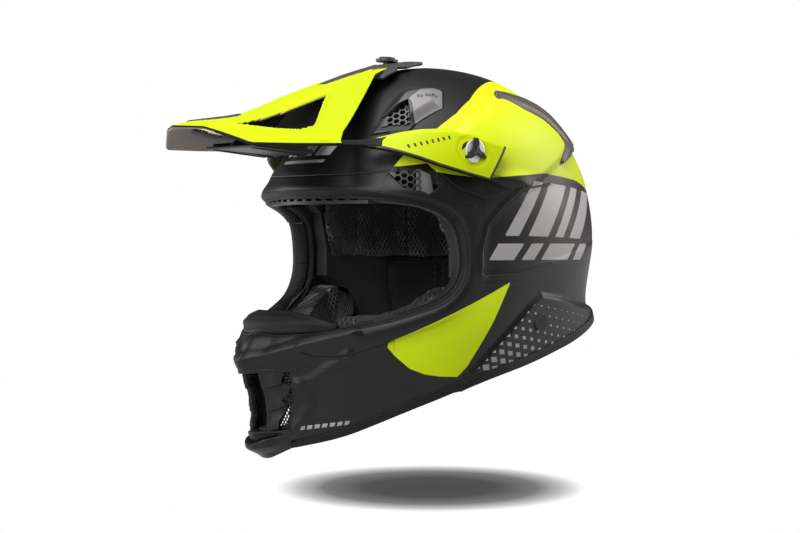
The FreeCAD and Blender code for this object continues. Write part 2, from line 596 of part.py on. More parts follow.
nut = nut.fuse(rod(Vector(pivot_x - 14, PIVOT_Y, PIVOT_Z), EX, 9.0, 3.0).cut(
    rod(Vector(60, PIVOT_Y, PIVOT_Z), EX, SCREW_R + RUN, 80)))
for side, hand in (("left", lambda s: s), ("right", mirrored)):
    export("peak_screw_" + side, hand(side_screw))
    export("peak_spacer_" + side, hand(spacer))
    export("peak_nut_" + side, hand(nut))

top_head = rod(tongue_top + radial * TOP_HEAD_GAP, radial, 9.0, 2.0)
top_head = top_head.fuse(rod(tongue_top + radial * (TOP_HEAD_GAP + 2.0), radial, 6.5, 1.6))
top_screw = top_head.fuse(rod(tongue_top - radial * 20, radial, SCREW_R, 23))
top_nut = rod(tongue_top - radial * 20, radial, 9.0, 3.0)
top_nut = top_nut.fuse(rod(tongue_top - radial * 20, radial, NUT_R, 30).common(body(0.05)))
top_nut = top_nut.cut(rod(tongue_top - radial * 40, radial, SCREW_R + RUN, 80))
export("peak_top_screw", top_screw)
export("peak_top_nut", top_nut)

# ================================================================ chin strap
plate_x = strap_x - SHELL_T - 7.0
LEFT_PATH = [(plate_x, -11), (plate_x, -4), (plate_x, 4), (plate_x, 12), (106, 28), (91, 48),
             (62.6, 69.8)]
RING_AT = (58.0, 72.0)
TANGENT = (-0.904, 0.426)
OUTWARD = (0.426, 0.904)
BAR_R = 1.6
RING_R = 14.0
RING_GAP = 1.8


def ring_point(along_path, outwards):
    """Point near the rings, in the strap's plane."""
    x = RING_AT[0] + TANGENT[0] * along_path + OUTWARD[0] * outwards
    r = RING_AT[1] + TANGENT[1] * along_path + OUTWARD[1] * outwards
    return (x, r)


def d_ring(outwards):
    """Steel D-ring: straight bar across the webbing and a round bow."""
    centre = strap_point(*ring_point(0, outwards))
    forward = strap_point(*ring_point(1, outwards)) - centre
    normal = forward.cross(STRAP_ACROSS)
    bow = Part.makeTorus(RING_R, BAR_R, ORIGIN, EZ, 0, 360, 180)
    turn = FreeCAD.Placement(centre, Rotation(STRAP_ACROSS, forward, normal, "XYZ"))
    bow.Placement = turn
    bar = rod(centre - STRAP_ACROSS * RING_R, STRAP_ACROSS, BAR_R, 2 * RING_R)
    ends = [Part.makeSphere(BAR_R, centre + STRAP_ACROSS * RING_R * k) for k in (-1, 1)]
    return bar.fuse(bow).fuse(ends[0]).fuse(ends[1])


web = ribbon(LEFT_PATH, STRAP_T, STRAP_W - 2)
loop_mid = strap_point(RING_AT[0], RING_AT[1], -(STRAP_W - 2) / 2)
loop = rod(loop_mid, STRAP_ACROSS, 6.0, STRAP_W - 2)
web = web.fuse(loop).cut(rod(loop_mid - STRAP_ACROSS * 5, STRAP_ACROSS, 3.75, STRAP_W + 10))
hole = rod(Vector(90, STRAP_PIVOT_Y, STRAP_PIVOT_Z), EX, RIVET_R + RUN, 40)
web = web.cut(hole)
export("strap_web_left", web)
export("d_ring_inner", d_ring(-RING_GAP))
export("d_ring_outer", d_ring(RING_GAP))

LONG_PATH = [(-plate_x, -11), (-plate_x, -4), (-plate_x, 4), (-plate_x, 12), (-106, 28), (-91, 48),
             (-64, 71), (-34, 85), (0, 90.5), (34, 87.5), ring_point(6.4, 5.6)]
TAIL_PATH = [ring_point(6.4, -5.4), (34, 77), (18, 83), (0, 86.2), (-22, 84.4)]
FOLD_AT = 7.2                       # clear of the loop, and inside the bows of the rings
FOLD_PATH = [ring_point(FOLD_AT, across) for across in (-6.2, 0, 6.4)]
long_web = ribbon(LONG_PATH, STRAP_T, STRAP_W - 5)
tail = ribbon(TAIL_PATH, STRAP_T, STRAP_W - 5)
fold = ribbon(FOLD_PATH, STRAP_T, STRAP_W - 6)
long_web = long_web.fuse(tail).fuse(fold).cut(mirrored(hole))
export("strap_web_right", long_web)

sleeve_path = smooth_path(LEFT_PATH)[27:44]
sleeve = ribbon(sleeve_path, SLEEVE_T, STRAP_W + 4).cut(ribbon(LEFT_PATH, STRAP_T + 0.2, STRAP_W - 1.8))
export("strap_pad_left", sleeve)
long_sleeve_path = smooth_path(LONG_PATH)[27:50]
long_sleeve = ribbon(long_sleeve_path, SLEEVE_T, STRAP_W + 4)
long_sleeve = long_sleeve.cut(ribbon(LONG_PATH, STRAP_T + 0.2, STRAP_W - 3.8))
export("strap_pad_right", long_sleeve)

inner_x = plate_x - 3.4
rivet = rod(Vector(inner_x, STRAP_PIVOT_Y, STRAP_PIVOT_Z), EX, RIVET_R, strap_x + 1.0 - inner_x)
rivet = rivet.fuse(rod(Vector(inner_x, STRAP_PIVOT_Y, STRAP_PIVOT_Z), EX, 7.5, 1.8))
rivet_head = rod(Vector(strap_x - 1.5, STRAP_PIVOT_Y, STRAP_PIVOT_Z), EX, 6.5, 3.6)
rivet = rivet.fuse(rivet_head.cut(body(-0.15)))
for side, hand in (("left", lambda s: s), ("right", mirrored)):
    export("strap_rivet_" + side, hand(rivet))
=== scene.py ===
import math

import bpy
import numpy as np
from mathutils import Matrix, Vector


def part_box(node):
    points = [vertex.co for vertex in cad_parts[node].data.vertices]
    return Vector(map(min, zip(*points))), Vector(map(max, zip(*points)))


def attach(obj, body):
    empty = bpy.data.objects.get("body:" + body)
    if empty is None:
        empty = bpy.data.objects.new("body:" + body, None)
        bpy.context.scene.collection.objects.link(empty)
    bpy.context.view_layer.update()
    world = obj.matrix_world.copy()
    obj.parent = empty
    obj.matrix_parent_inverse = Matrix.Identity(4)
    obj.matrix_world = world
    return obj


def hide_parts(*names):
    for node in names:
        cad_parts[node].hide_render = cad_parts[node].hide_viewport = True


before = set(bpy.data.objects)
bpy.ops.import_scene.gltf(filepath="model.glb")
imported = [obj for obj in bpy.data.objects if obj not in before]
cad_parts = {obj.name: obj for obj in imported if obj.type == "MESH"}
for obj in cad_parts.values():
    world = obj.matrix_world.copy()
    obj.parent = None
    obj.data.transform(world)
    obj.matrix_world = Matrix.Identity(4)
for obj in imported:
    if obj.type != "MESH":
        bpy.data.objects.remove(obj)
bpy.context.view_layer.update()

SCENE = bpy.context.scene
MM = 0.001                                  # the tables below are in millimetres

# ---------------------------------------------------------------- the form
# The helmet's outer form as tilted closed sections: front (y, z), rear
# (y, z), widest (x, y), temple (x, y), corner (x, distance behind the front)
FORM = [
    ((-150, -172), (128, -76), (98, 10), (76, -88), (28, 14)),
    ((-166, -143), (137, -42), (106, 10), (83, -92), (30, 14)),
    ((-184, -130), (139, -32), (110, 8), (88, -95), (30, 16)),
    ((-188, -100), (131, -18), (115, 5), (93, -98), (32, 17)),
    ((-197, -66), (129, -6), (118, 2), (98, -98), (34, 18)),
    ((-172, -32), (132, 12), (121, 0), (101, -94), (44, 14)),
    ((-148, 12), (135, 30), (123, 0), (104, -88), (56, 13)),
    ((-143, 62), (132, 58), (122, 0), (104, -84), (62, 14)),
    ((-131, 90), (124, 84), (117, -1), (98, -78), (58, 13)),
    ((-112, 118), (108, 112), (105, -3), (85, -70), (50, 12)),
    ((-90, 142), (85, 138), (84, -4), (67, -58), (40, 9)),
    ((-62, 161), (54, 159), (56, -6), (43, -43), (26, 6)),
    ((-33, 170.5), (18, 170), (24, -8), (19, -25), (11, 3)),
]
CROWN = (0.0, -8.0, 172.5)
DOME_BASE_Z, DOME_HEIGHT = 20.0, 152.5
HALF_SPACING = [95.0, 100.0, 90.0, 62.0, 40.0]
SPACING = np.array(HALF_SPACING + HALF_SPACING[::-1])

NECK_EDGE = [(-215, -151), (-170, -143), (-150, -132.5), (-125, -119), (-100, -106), (-75, -95),
             (-50, -85), (-25, -77), (0, -70.5), (30, -62), (65, -52), (100, -41), (120, -36),
             (170, -28)]
EYE_PORT = [(-260, 66), (-170, 65), (-132, 64), (-110, 60.5), (-88, 55), (-71, 44), (-64.5, 24),
            (-65, 2), (-74, -13), (-97, -25), (-125, -34), (-155, -39), (-200, -39), (-260, -39)]
SHELL_T = 3.6
FAR = 9.0                                   # a field's value well away from its zero line
SIDES = (("left", False), ("right", True))  # the wearer's sides, the right one mirrored


def spline(t, points, at):
    """Values at `at` of the cubic through the points with knots t."""
    t, p = np.asarray(t, float), np.asarray(points, float)
    n, h = len(t), np.diff(np.asarray(t, float))
    a, b = np.zeros((n, n)), np.zeros((n,) + p.shape[1:])
    for i in range(1, n - 1):
        a[i, i - 1:i + 2] = h[i - 1], 2 * (h[i - 1] + h[i]), h[i]
        b[i] = 6 * ((p[i + 1] - p[i]) / h[i] - (p[i] - p[i - 1]) / h[i - 1])
    a[0, :3] = h[1], -(h[0] + h[1]), h[0]
    a[-1, -3:] = h[-1], -(h[-2] + h[-1]), h[-2]
    m = np.linalg.solve(a, b.reshape(n, -1)).reshape(b.shape)
    return spline_eval(t, p, m, h, at)


def spline_eval(t, p, m, h, at):
    i = np.clip(np.searchsorted(t, at, "right") - 1, 0, len(h) - 1)
    shape = (-1,) + (1,) * (p.ndim - 1)
    f, w = ((at - t[i]) / h[i]).reshape(shape), h[i].reshape(shape)
    j = (i + 1) % len(p)
    g = 1 - f
    return g * p[i] + f * p[j] + w ** 2 / 6 * ((g ** 3 - g) * m[i] + (f ** 3 - f) * m[j])


def ring_spline(points, count):
    """The closed cubic through the ten key points of a section."""
    n, h = len(points), SPACING
    a, b = np.zeros((n, n)), np.zeros((n, 2))
    for i in range(n):
        a[i, i - 1] += h[i - 1]
        a[i, i] += 2 * (h[i - 1] + h[i])
        a[i, (i + 1) % n] += h[i]
        b[i] = (6 * ((points[(i + 1) % n] - points[i]) / h[i]
                     - (points[i] - points[i - 1]) / h[i - 1]))
    t = np.concatenate([[0], np.cumsum(h)])
    at = np.linspace(0, t[-1], count, endpoint=False)
    return spline_eval(t, points, np.linalg.solve(a, b), h, at)


def form_keys(station, depth):
    """Key points of one section, moved inwards by depth."""
    (yf, zf), (yr, zr), (xw, yw), (xt, yt), (xc, back) = station
    lean = min(1.0, max(0.0, ((zf + zr) / 2 - DOME_BASE_Z) / DOME_HEIGHT))
    side, drop = depth * math.sqrt(1 - lean * lean), depth * lean
    yf, yr, xw = yf + side, yr - side, xw - side
    half = [(0, yr), (0.707 * xw, yw + 0.74 * (yr - yw)), (xw, yw),
            (xt - 0.95 * side, yt + 0.35 * side), (xc - 0.45 * side, yf + back), (0, yf)]
    ring = half + [(-x, y) for x, y in half[-2:0:-1]]
    return np.array(ring, float), zf - drop, (zr - zf) / (yr - yf), yf


def form_grid(depth, around, levels):
    """Grid of points on the form at a depth: (levels, around, 3)."""
    rows = []
    for station in FORM:
        ring, z, slope, yf = form_keys(station, depth)
        xy = ring_spline(ring, around)
        rows.append(np.column_stack([xy, z + slope * (xy[:, 1] - yf)]))
    rows.append(np.tile([[CROWN[0], CROWN[1], CROWN[2] - depth]], (around, 1)))
    rows = np.array(rows)
    t = np.concatenate([[0], np.cumsum(np.linalg.norm(np.diff(rows, axis=0), axis=2).mean(1))])
    return spline(t, rows, np.linspace(0, t[-1], levels))


def grid_normals(grid):
    across = np.roll(grid, -1, 1) - np.roll(grid, 1, 1)
    up = np.gradient(grid, axis=0)
    n = np.cross(across, up)
    size = np.linalg.norm(n, axis=2, keepdims=True)
    n = n / np.maximum(size, 1e-9)
    middle = grid.reshape(-1, 3).mean(0)
    n *= np.sign(((grid - middle) * n).sum())
    n[-1] = (0, 0, 1)
    return n


def quads(a, b, c, d):
    """Two triangles for each quad a, b, c, d."""
    return np.concatenate([np.stack([a, b, c], -1).reshape(-1, 3),
                           np.stack([a, c, d], -1).reshape(-1, 3)])


def closed_grid(levels, around):
    """Corners of the quads of a grid closed round its second axis."""
    idx = np.arange(levels * around).reshape(levels, around)
    turned = np.roll(idx, -1, 1)
    return idx[:-1], turned[:-1], turned[1:], idx[1:]


def grid_faces(levels, around):
    """Triangles of a grid closed round its second axis, facing outwards."""
    a, b, c, d = closed_grid(levels, around)
    return np.concatenate([np.stack([a, c, b], -1).reshape(-1, 3),
                           np.stack([a, d, c], -1).reshape(-1, 3)])


# ---------------------------------------------------------------- fields


def segments(points, closed):
    p = np.asarray(points, float)
    return (p, np.roll(p, -1, 0)) if closed else (p[:-1], p[1:])


def distance(q, points, closed=False):
    """Distance of each q to a polyline, in 2-D or 3-D."""
    best = np.full(len(q), 1e9)
    for a, b in zip(*segments(points, closed)):
        ab = b - a
        t = np.clip(((q - a) @ ab) / max(ab @ ab, 1e-9), 0, 1)
        best = np.minimum(best, np.linalg.norm(q - a - t[:, None] * ab, axis=1))
    return best


def inside(q, polygon):
    """Signed distance to a 2-D polygon, positive inside."""
    p = np.asarray(polygon, float)
    odd = np.zeros(len(q), bool)
    for a, b in zip(*segments(p, True)):
        if a[1] == b[1]:
            continue
        cross = (a[1] > q[:, 1]) != (b[1] > q[:, 1])
        odd ^= cross & (q[:, 0] < (b[0] - a[0]) * (q[:, 1] - a[1]) / (b[1] - a[1]) + a[0])
    return np.where(odd, 1, -1) * distance(q, p, True)


def smooth_line(points, steps=10):
    """The same polyline rounded by a cubic."""
    p = np.asarray(points, float)
    t = np.concatenate([[0], np.cumsum(np.linalg.norm(np.diff(p, axis=0), axis=1))])
    return spline(t, p, np.linspace(0, t[-1], steps * (len(p) - 1) + 1))


def ramp(x, low, high):
    t = np.clip((x - low) / (high - low), 0, 1)
    return t * t * (3 - 2 * t)


def tent(d, half):
    return np.maximum(0, 1 - d / half)


# ---------------------------------------------------------------- meshes


def clip(data, faces, field):
    """Trim a triangle mesh to where field > 0; data holds xyz and attributes."""
    s = field > 0
    count = s[faces].sum(1)
    out, pairs, rows = [faces[count == 3]], [], []
    for positive in (1, 2):
        f = faces[count == positive]
        if not len(f):
            continue
        lone = (s[f] == (positive == 1)).argmax(1)
        r = np.arange(len(f))
        a, b, c = f[r, lone], f[r, (lone + 1) % 3], f[r, (lone + 2) % 3]
        pairs += [np.stack([a, b], 1), np.stack([a, c], 1)]
        rows.append((positive, a, b, c))
    if not rows:
        return data, out[0]
    every = np.sort(np.concatenate(pairs), 1)
    edges, back = np.unique(every, axis=0, return_inverse=True)
    back = back.reshape(-1) + len(data)
    t = (field[edges[:, 0]] / (field[edges[:, 0]] - field[edges[:, 1]]))[:, None]
    data = np.concatenate([data, data[edges[:, 0]] * (1 - t) + data[edges[:, 1]] * t])
    start = 0
    for positive, a, b, c in rows:
        ab, ac = back[start:start + len(a)], back[start + len(a):start + 2 * len(a)]
        start += 2 * len(a)
        if positive == 1:
            out.append(np.stack([a, ab, ac], 1))
        else:
            out += [np.stack([ab, b, c], 1), np.stack([ab, c, ac], 1)]
    return compact(data, np.concatenate(out))


def compact(data, faces):
    used = np.unique(faces)
    new = np.full(len(data), -1)
    new[used] = np.arange(len(used))
    return data[used], new[faces]


def weld(data, faces, tolerance=0.02):
    """Join points that lie together, and drop faces that have collapsed."""
    key = np.round(data[:, :3] / tolerance).astype(np.int64)
    _, first, back = np.unique(key, axis=0, return_index=True, return_inverse=True)
    faces = back.reshape(-1)[faces]
    ok = (faces[:, 0] != faces[:, 1]) & (faces[:, 1] != faces[:, 2]) & (faces[:, 0] != faces[:, 2])
    return data[first], faces[ok]


def boundary_loops(faces):
    """Closed runs of the edges that have a face on one side only."""
    e = np.concatenate([faces[:, [0, 1]], faces[:, [1, 2]], faces[:, [2, 0]]])
    top = int(faces.max()) + 1
    key, flip = e[:, 0] * top + e[:, 1], e[:, 1] * top + e[:, 0]
    free = e[~np.isin(key, flip)]
    follow = dict(free.tolist())
    loops = []
    while follow:
        start, at = next(iter(follow.items()))
        del follow[start]
        loop = [start]
        while at in follow:
            loop.append(at)
            at = follow.pop(at)
        if len(loop) > 8:
            loops.append(np.array(loop))
    return loops


def loop_frame(points, normals, reach=2.0):
    """Direction out of the surface's edge at each point of a closed loop."""
    ring = np.vstack([points, points[:1]])
    s = np.concatenate([[0], np.cumsum(np.linalg.norm(np.diff(ring, axis=0), axis=1))])
    total = s[-1]
    at = s[:-1]
    take = [np.stack([np.interp((at + k) % total, s, ring[:, i]) for i in range(3)], 1)
            for k in (reach, -reach)]
    tangent = take[0] - take[1]
    out = np.cross(tangent, normals)
    out /= np.maximum(np.linalg.norm(out, axis=1, keepdims=True), 1e-9)
    return out


def vertex_normals(data, faces):
    p = data[:, :3]
    n = np.cross(p[faces[:, 1]] - p[faces[:, 0]], p[faces[:, 2]] - p[faces[:, 0]])
    total = np.zeros_like(p)
    for k in range(3):
        np.add.at(total, faces[:, k], n)
    return total / np.maximum(np.linalg.norm(total, axis=1, keepdims=True), 1e-12)


def add_walls(data, faces, profile, normals, flag=None):
    """Sweep a wall along every free edge, (outwards, down) by row, and close it below.

    flag is a data column that is set on the wall and below it."""
    lip, deep, start = {}, profile[-1][1], len(data)
    parts, rings, more = [faces], [data], [normals]
    count = len(data)
    for loop in boundary_loops(faces):
        n = normals[loop]
        out = loop_frame(data[loop, :3], n)
        last = loop
        for k, (u, w) in enumerate(profile):
            ring = data[loop].copy()
            ring[:, :3] += out * u - n * w
            if flag is not None and k > 0:
                ring[:, flag] = 1.0
            ids = np.arange(len(loop)) + count
            count += len(loop)
            rings.append(ring)
            more.append(n)
            a, b, c, d = last, np.roll(last, -1), np.roll(ids, -1), ids
            parts += [np.stack([b, a, d], 1), np.stack([b, d, c], 1)]
            last = ids
        lip.update(zip(loop.tolist(), last.tolist()))
    copy = data.copy()
    copy[:, :3] -= normals * deep
    if flag is not None:
        copy[:, flag] = 1.0
    new = np.arange(start) + count
    new[list(lip.keys())] = list(lip.values())
    rings.append(copy)
    more.append(normals)
    parts.append(new[faces[:, ::-1]])
    data, normals, faces = np.concatenate(rings), np.concatenate(more), np.concatenate(parts)
    used = np.unique(faces)
    return (*compact(data, faces), normals[used])


def rounded(radius, depth, steps=4):
    """Wall profile: a rounded edge, then straight down."""
    arc = [(radius * math.sin(a), radius * (1 - math.cos(a)))
           for a in np.linspace(0, math.pi / 2, steps + 1)[1:]]
    return arc + [(radius, depth)]


def linked(name, data):
    """A new object in the scene."""
    obj = bpy.data.objects.new(name, data)
    SCENE.collection.objects.link(obj)
    return obj


def set_attribute(mesh, key, values):
    """Write one number or one vector for each point."""
    values = np.asarray(values, np.float32)
    kind, field = ("FLOAT", "value") if values.ndim == 1 else ("FLOAT_VECTOR", "vector")
    mesh.attributes.new(key, kind, "POINT").data.foreach_set(field, values.ravel())


def build(name, verts, faces, material, attrs=None, sharp=None):
    """Mesh object from numpy arrays: verts in mm, triangles, point attributes."""
    verts = np.asarray(verts, np.float32) * MM
    mesh = bpy.data.meshes.new(name)
    mesh.vertices.add(len(verts))
    mesh.vertices.foreach_set("co", verts.ravel())
    flat = np.asarray(faces, np.int32)
    mesh.loops.add(flat.size)
    mesh.loops.foreach_set("vertex_index", flat.ravel())
    mesh.polygons.add(len(flat))
    size = flat.shape[1]
    mesh.polygons.foreach_set("loop_start", np.arange(0, flat.size, size, dtype=np.int32))
    mesh.polygons.foreach_set("use_smooth", np.ones(len(flat), bool))
    mesh.update(calc_edges=True)
    for key, values in (attrs or {}).items():
        set_attribute(mesh, key, values)
    if sharp is not None:
        mesh.set_sharp_from_angle(angle=math.radians(sharp))
    mesh.materials.append(material)
    return linked(name, mesh)


def place(obj, body, slot, *nodes):
    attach(obj, body)
    if nodes:
        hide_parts(*nodes)
    return obj


# ---------------------------------------------------------------- shading


class Sock:
    """A shader value that takes arithmetic."""

    def __init__(self, tree, socket):
        self.tree, self.socket = tree, socket

    def op(self, kind, *others):
        node = self.tree.nodes.new("ShaderNodeMath")
        node.operation = kind
        for slot, value in zip(node.inputs, (self,) + others):
            if isinstance(value, Sock):
                self.tree.links.new(value.socket, slot)
            else:
                slot.default_value = value
        return Sock(self.tree, node.outputs[0])

    def __add__(self, o): return self.op("ADD", o)
    def __sub__(self, o): return self.op("SUBTRACT", o)
    def __mul__(self, o): return self.op("MULTIPLY", o)

    def edge(self, width):
        """0 to 1 over a narrow band round zero."""
        node = (self * (1.0 / width) + 0.5)
        node.socket.node.use_clamp = True
        return node


class Paint:
    """A material under construction."""

    def __init__(self, name):
        self.material = bpy.data.materials.new(name)
        self.material.use_nodes = True
        self.tree = self.material.node_tree
        self.shader = self.tree.nodes["Principled BSDF"]
        self.point = self.node("ShaderNodeTexCoord").outputs["Object"]

    def node(self, kind, **settings):
        node = self.tree.nodes.new(kind)
        for key, value in settings.items():
            setattr(node, key, value)
        return node

    def attribute(self, name, output="Fac"):
        node = self.node("ShaderNodeAttribute", attribute_name=name)
        return Sock(self.tree, node.outputs[output])

    def split(self, socket):
        """The first two components of a vector."""
        node = self.node("ShaderNodeSeparateXYZ")
        self.tree.links.new(socket, node.inputs[0])
        return Sock(self.tree, node.outputs[0]), Sock(self.tree, node.outputs[1])

    def noise(self, scale, detail=2.0):
        node = self.node("ShaderNodeTexNoise")
        node.inputs["Scale"].default_value = scale
        node.inputs["Detail"].default_value = detail
        self.tree.links.new(self.point, node.inputs["Vector"])
        return Sock(self.tree, node.outputs["Fac"])

    def voronoi(self, scale, feature="F1"):
        node = self.node("ShaderNodeTexVoronoi", feature=feature)
        node.inputs["Scale"].default_value = scale
        self.tree.links.new(self.point, node.inputs["Vector"])
        return Sock(self.tree, node.outputs["Distance"])

    def cloth(self):
        """Millimetres across and along the fabric."""
        return self.split(self.node("ShaderNodeAttribute", attribute_name="cloth").outputs["Vector"])

    def uneven(self, scale, detail, low, high):
        """A value that drifts between low and high over the surface."""
        return self.map(self.noise(scale, detail), 0.3, 0.7, low, high)

    def wear_and_highlight(self, low, high, most, scale):
        """How far each convex edge is lightened, up to most, in patches: a painted highlight that also
        stands for rubbed wear.
        """
        edge = Sock(self.tree, self.node("ShaderNodeNewGeometry").outputs["Pointiness"])
        return self.map(edge, low, high, 0.0, most) * self.noise(scale, 4)

    def mix(self, factor, a, b):
        """Colour a where factor is 0, b where it is 1."""
        node = self.node("ShaderNodeMix", data_type="RGBA")
        self.link(factor, node.inputs[0])
        self.link(a, node.inputs[6])
        self.link(b, node.inputs[7])
        return Sock(self.tree, node.outputs[2])

    def link(self, value, slot):
        if isinstance(value, Sock):
            self.tree.links.new(value.socket, slot)
        elif isinstance(value, tuple):
            slot.default_value = (*value, 1.0)
        else:
            slot.default_value = value

    def map(self, value, low, high, to_low, to_high):
        node = self.node("ShaderNodeMapRange")
        for slot, v in zip(node.inputs, (value, low, high, to_low, to_high)):
            self.link(v, slot)
        return Sock(self.tree, node.outputs[0])

    def set(self, **inputs):
        for key, value in inputs.items():
            self.link(value, self.shader.inputs[key.replace("_", " ")])

    def bump(self, height, distance, strength=1.0, under=None):
        node = self.node("ShaderNodeBump")
        node.inputs["Distance"].default_value = distance
        node.inputs["Strength"].default_value = strength
        self.link(height, node.inputs["Height"])
        if under is not None:
            self.link(under, node.inputs["Normal"])
        return Sock(self.tree, node.outputs[0])


GRAPHIC_GREY = (0.56, 0.54, 0.55)


def moulded(name, colour, rough=0.45, grain=0.00006, wear_highlight_colour=(0.06, 0.06, 0.06), specular=0.5):
    """Moulded plastic: fine grain, uneven sheen, and convex edges lightened in patches, a painted highlight
    that also stands for rubbed wear.
    """
    p = Paint(name)
    # convex edges mixed towards a lighter colour: painted highlight, partly rubbed wear
    wear_and_highlight = p.wear_and_highlight(0.54, 0.60, 0.6, 160)
    tone = p.mix(p.noise(14, 3), tuple(c * 0.86 for c in colour), tuple(c * 1.14 for c in colour))
    p.set(Base_Color=p.mix(wear_and_highlight, tone, wear_highlight_colour),
          Roughness=p.uneven(40, 5, rough - 0.05, rough + 0.06),
          Normal=p.bump(p.noise(1500, 3), grain), Specular_IOR_Level=specular)
    return p.material


def side_view(p):
    """y and z of the point being shaded, in millimetres."""
    split = p.node("ShaderNodeSeparateXYZ")
    p.tree.links.new(p.point, split.inputs[0])
    return Sock(p.tree, split.outputs[1]) * 1000.0, Sock(p.tree, split.outputs[2]) * 1000.0


def dash_row(p, start, step, count, fill, half, slant):
    """A row of slanted dashes in side view, from start, one at every step."""
    y, z = side_view(p)
    length = math.hypot(*step)
    ay, az = step[0] / length, step[1] / length
    up = (z - start[1]) * ay - (y - start[0]) * az
    along = ((y - start[0]) * ay + (z - start[1]) * az - up * slant) * (1.0 / length)
    part = along.op("FRACT")
    on = (part * -1.0 + fill).edge(0.08)
    row = (up.op("ABSOLUTE") * -1.0 + half).edge(0.25)
    ends = (along + 0.02).edge(0.02) * (along * -1.0 + float(count)).edge(0.02)
    return on * row * ends


def groove(p, name):
    """1 on the zero line of a signed field on the surface, 0 beside it."""
    return p.map(p.attribute(name).op("ABSOLUTE"), 0.45, 1.1, 1.0, 0.0)


def shell_paint():
    """Satin black with fluorescent yellow zones, light bars and a field of squares; the yellow has a
    painted glow and is painted brighter low down, the grooves have painted shade and the edges a painted
    highlight.
    """
    p = Paint("shell_paint")
    yellow = p.attribute("yellow").edge(0.5)
    grey = p.attribute("grey").edge(0.4)
    dots = dot_field(p)
    front = p.attribute("front").edge(2.0)
    letters = dash_row(p, (-160.5, -117.4), (3.9, 0.74), 9, 0.68, 1.5, 0.25) * front
    grey = grey.op("MAXIMUM", dots).op("MAXIMUM", letters)
    black = p.mix(p.noise(9, 3), (0.0042, 0.0042, 0.0038), (0.0066, 0.0065, 0.0058))
    # painted light: the yellow is coloured brighter low down, standing in for light that falls less there
    low = p.map(side_view(p)[1], 10.0, 50.0, 1.0, 0.0)
    bright = p.mix(p.noise(11, 3), (0.66, 0.80, 0.0), (0.72, 0.85, 0.0))
    bright = p.mix(low, bright, (0.80, 1.0, 0.0))
    colour = p.mix(grey, black, GRAPHIC_GREY)
    colour = p.mix(yellow, colour, bright)
    # convex edges lightened in patches: painted highlight, partly rubbed wear
    colour = p.mix(p.wear_and_highlight(0.55, 0.62, 0.35, 220), colour, (0.06, 0.06, 0.06))
    rough = p.uneven(30, 5, 0.39, 0.47) + yellow * 0.05
    grain = p.bump(p.noise(900, 3), 0.00004)
    line = groove(p, "brow_line").op("MAXIMUM", groove(p, "panel_line"))
    line = line.op("MAXIMUM", groove(p, "vent_line"))
    # painted shade: the brow, side panel and top vent grooves are coloured near black
    colour = p.mix(line * 0.9, colour, (0.002, 0.002, 0.002))
    step = p.bump(yellow.op("MAXIMUM", grey), 0.00008, 0.6, under=grain)
    step = p.bump(line * -1.0, 0.0009, 0.9, under=step)
    # painted glow: the yellow emits light, more of it low down
    glow = p.mix(low, (0.35, 0.42, 0.0), (0.72, 1.0, 0.0))
    p.set(Base_Color=colour, Roughness=rough, Normal=step, Specular_IOR_Level=0.32,
          Emission_Color=p.mix(yellow, (0.0, 0.0, 0.0), glow), Emission_Strength=0.11)
    return p.material


DOT_ORIGIN, DOT_ROW, DOT_COLUMN = (4.0, -22.0), (9.1, -1.3), (-6.8, -5.9)


def dot_field(p):
    """Squares that grow along the columns and shrink along the rows."""
    y, z = side_view(p)
    y, z = y - DOT_ORIGIN[0], z - DOT_ORIGIN[1]
    (ay, az), (by, bz) = DOT_ROW, DOT_COLUMN
    det = ay * bz - az * by
    u = y * (bz / det) - z * (by / det)
    v = z * (ay / det) - y * (az / det)
    i, j = u.op("ROUND"), v.op("ROUND")
    du, dv = u - i, v - j
    dy = du * ay + dv * by
    dz = du * az + dv * bz
    half = (j * 0.235 - i * 0.085 + 0.78).op("MAXIMUM", 0.42)
    far = (dy * 0.85 + dz * 0.25).op("ABSOLUTE").op("MAXIMUM", (dz * 1.15).op("ABSOLUTE"))
    square = (half - far).edge(0.3)
    inside_rows = (j + 0.5).edge(0.1) * ((j * -1.0) + 8.5).edge(0.1) * (i + 0.5).edge(0.1)
    return square * inside_rows * p.attribute("dots").edge(0.5)


# ---------------------------------------------------------------- shell
AROUND, LEVELS = ((680, 340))
PANEL_RIDGE = [(121, -8, 68), (121, -29, 54), (120, -42, 40), (119, -48, 21), (119, -49, 2)]
UPPER_LINE = [-80, -68, -46, -9], [82, 69, 61, 71]
SIDE_PANEL = [(-8, 69), (-29, 54), (-42, 40), (-48, 21), (-49, 2), (-18, 3), (30, 12), (110, 30),
              (110, 74), (40, 76)]
BLOCK = [(4, 149), (-12, 142), (-22, 133), (-39, 126), (-53, 117), (-62, 108), (-84, 96),
         (-60, 84), (-30, 70), (-3, 66), (9, 72), (26, 82), (47, 92), (66, 104), (60, 118),
         (44, 130), (22, 138)]
FLARE = [(14, -13), (-1, -22), (-31, -49), (-55, -74), (-120, -190), (220, -190),
         (220, -20), (100, -24), (70, -22), (39, -16)]
BEAK = [(0, -197, -65.5), (22, -188, -59), (39, -174, -54), (56, -156, -48), (70, -141, -43)]
FACET = [(39, -174, -54), (47, -165, -61), (67, -142, -61), (85, -118, -51), (103, -88, -38),
         (114, -60, -24)]
FIN_CREASE = [(67, -142, -61), (57, -151, -71), (46, -161, -81), (36, -170, -86)]
CHEEK_CREASE = [(38, -170, -84), (41, -163, -92), (42, -161, -99), (36, -166, -113), (29, -171, -124),
                (15, -171, -137)]
CHIN_HOLE = [(-36, -73), (36, -73), (30, -123), (-30, -123)]
TOP_VENT = [(50, -104, 113), (47, -89, 131), (44, -72, 146), (49, -63, 150), (60, -47, 151),
            (65, -46, 148), (77, -56, 134), (73, -81, 119), (73, -87, 114)]
TOP_VENT_OUT = (0.52, -0.42, 0.74)
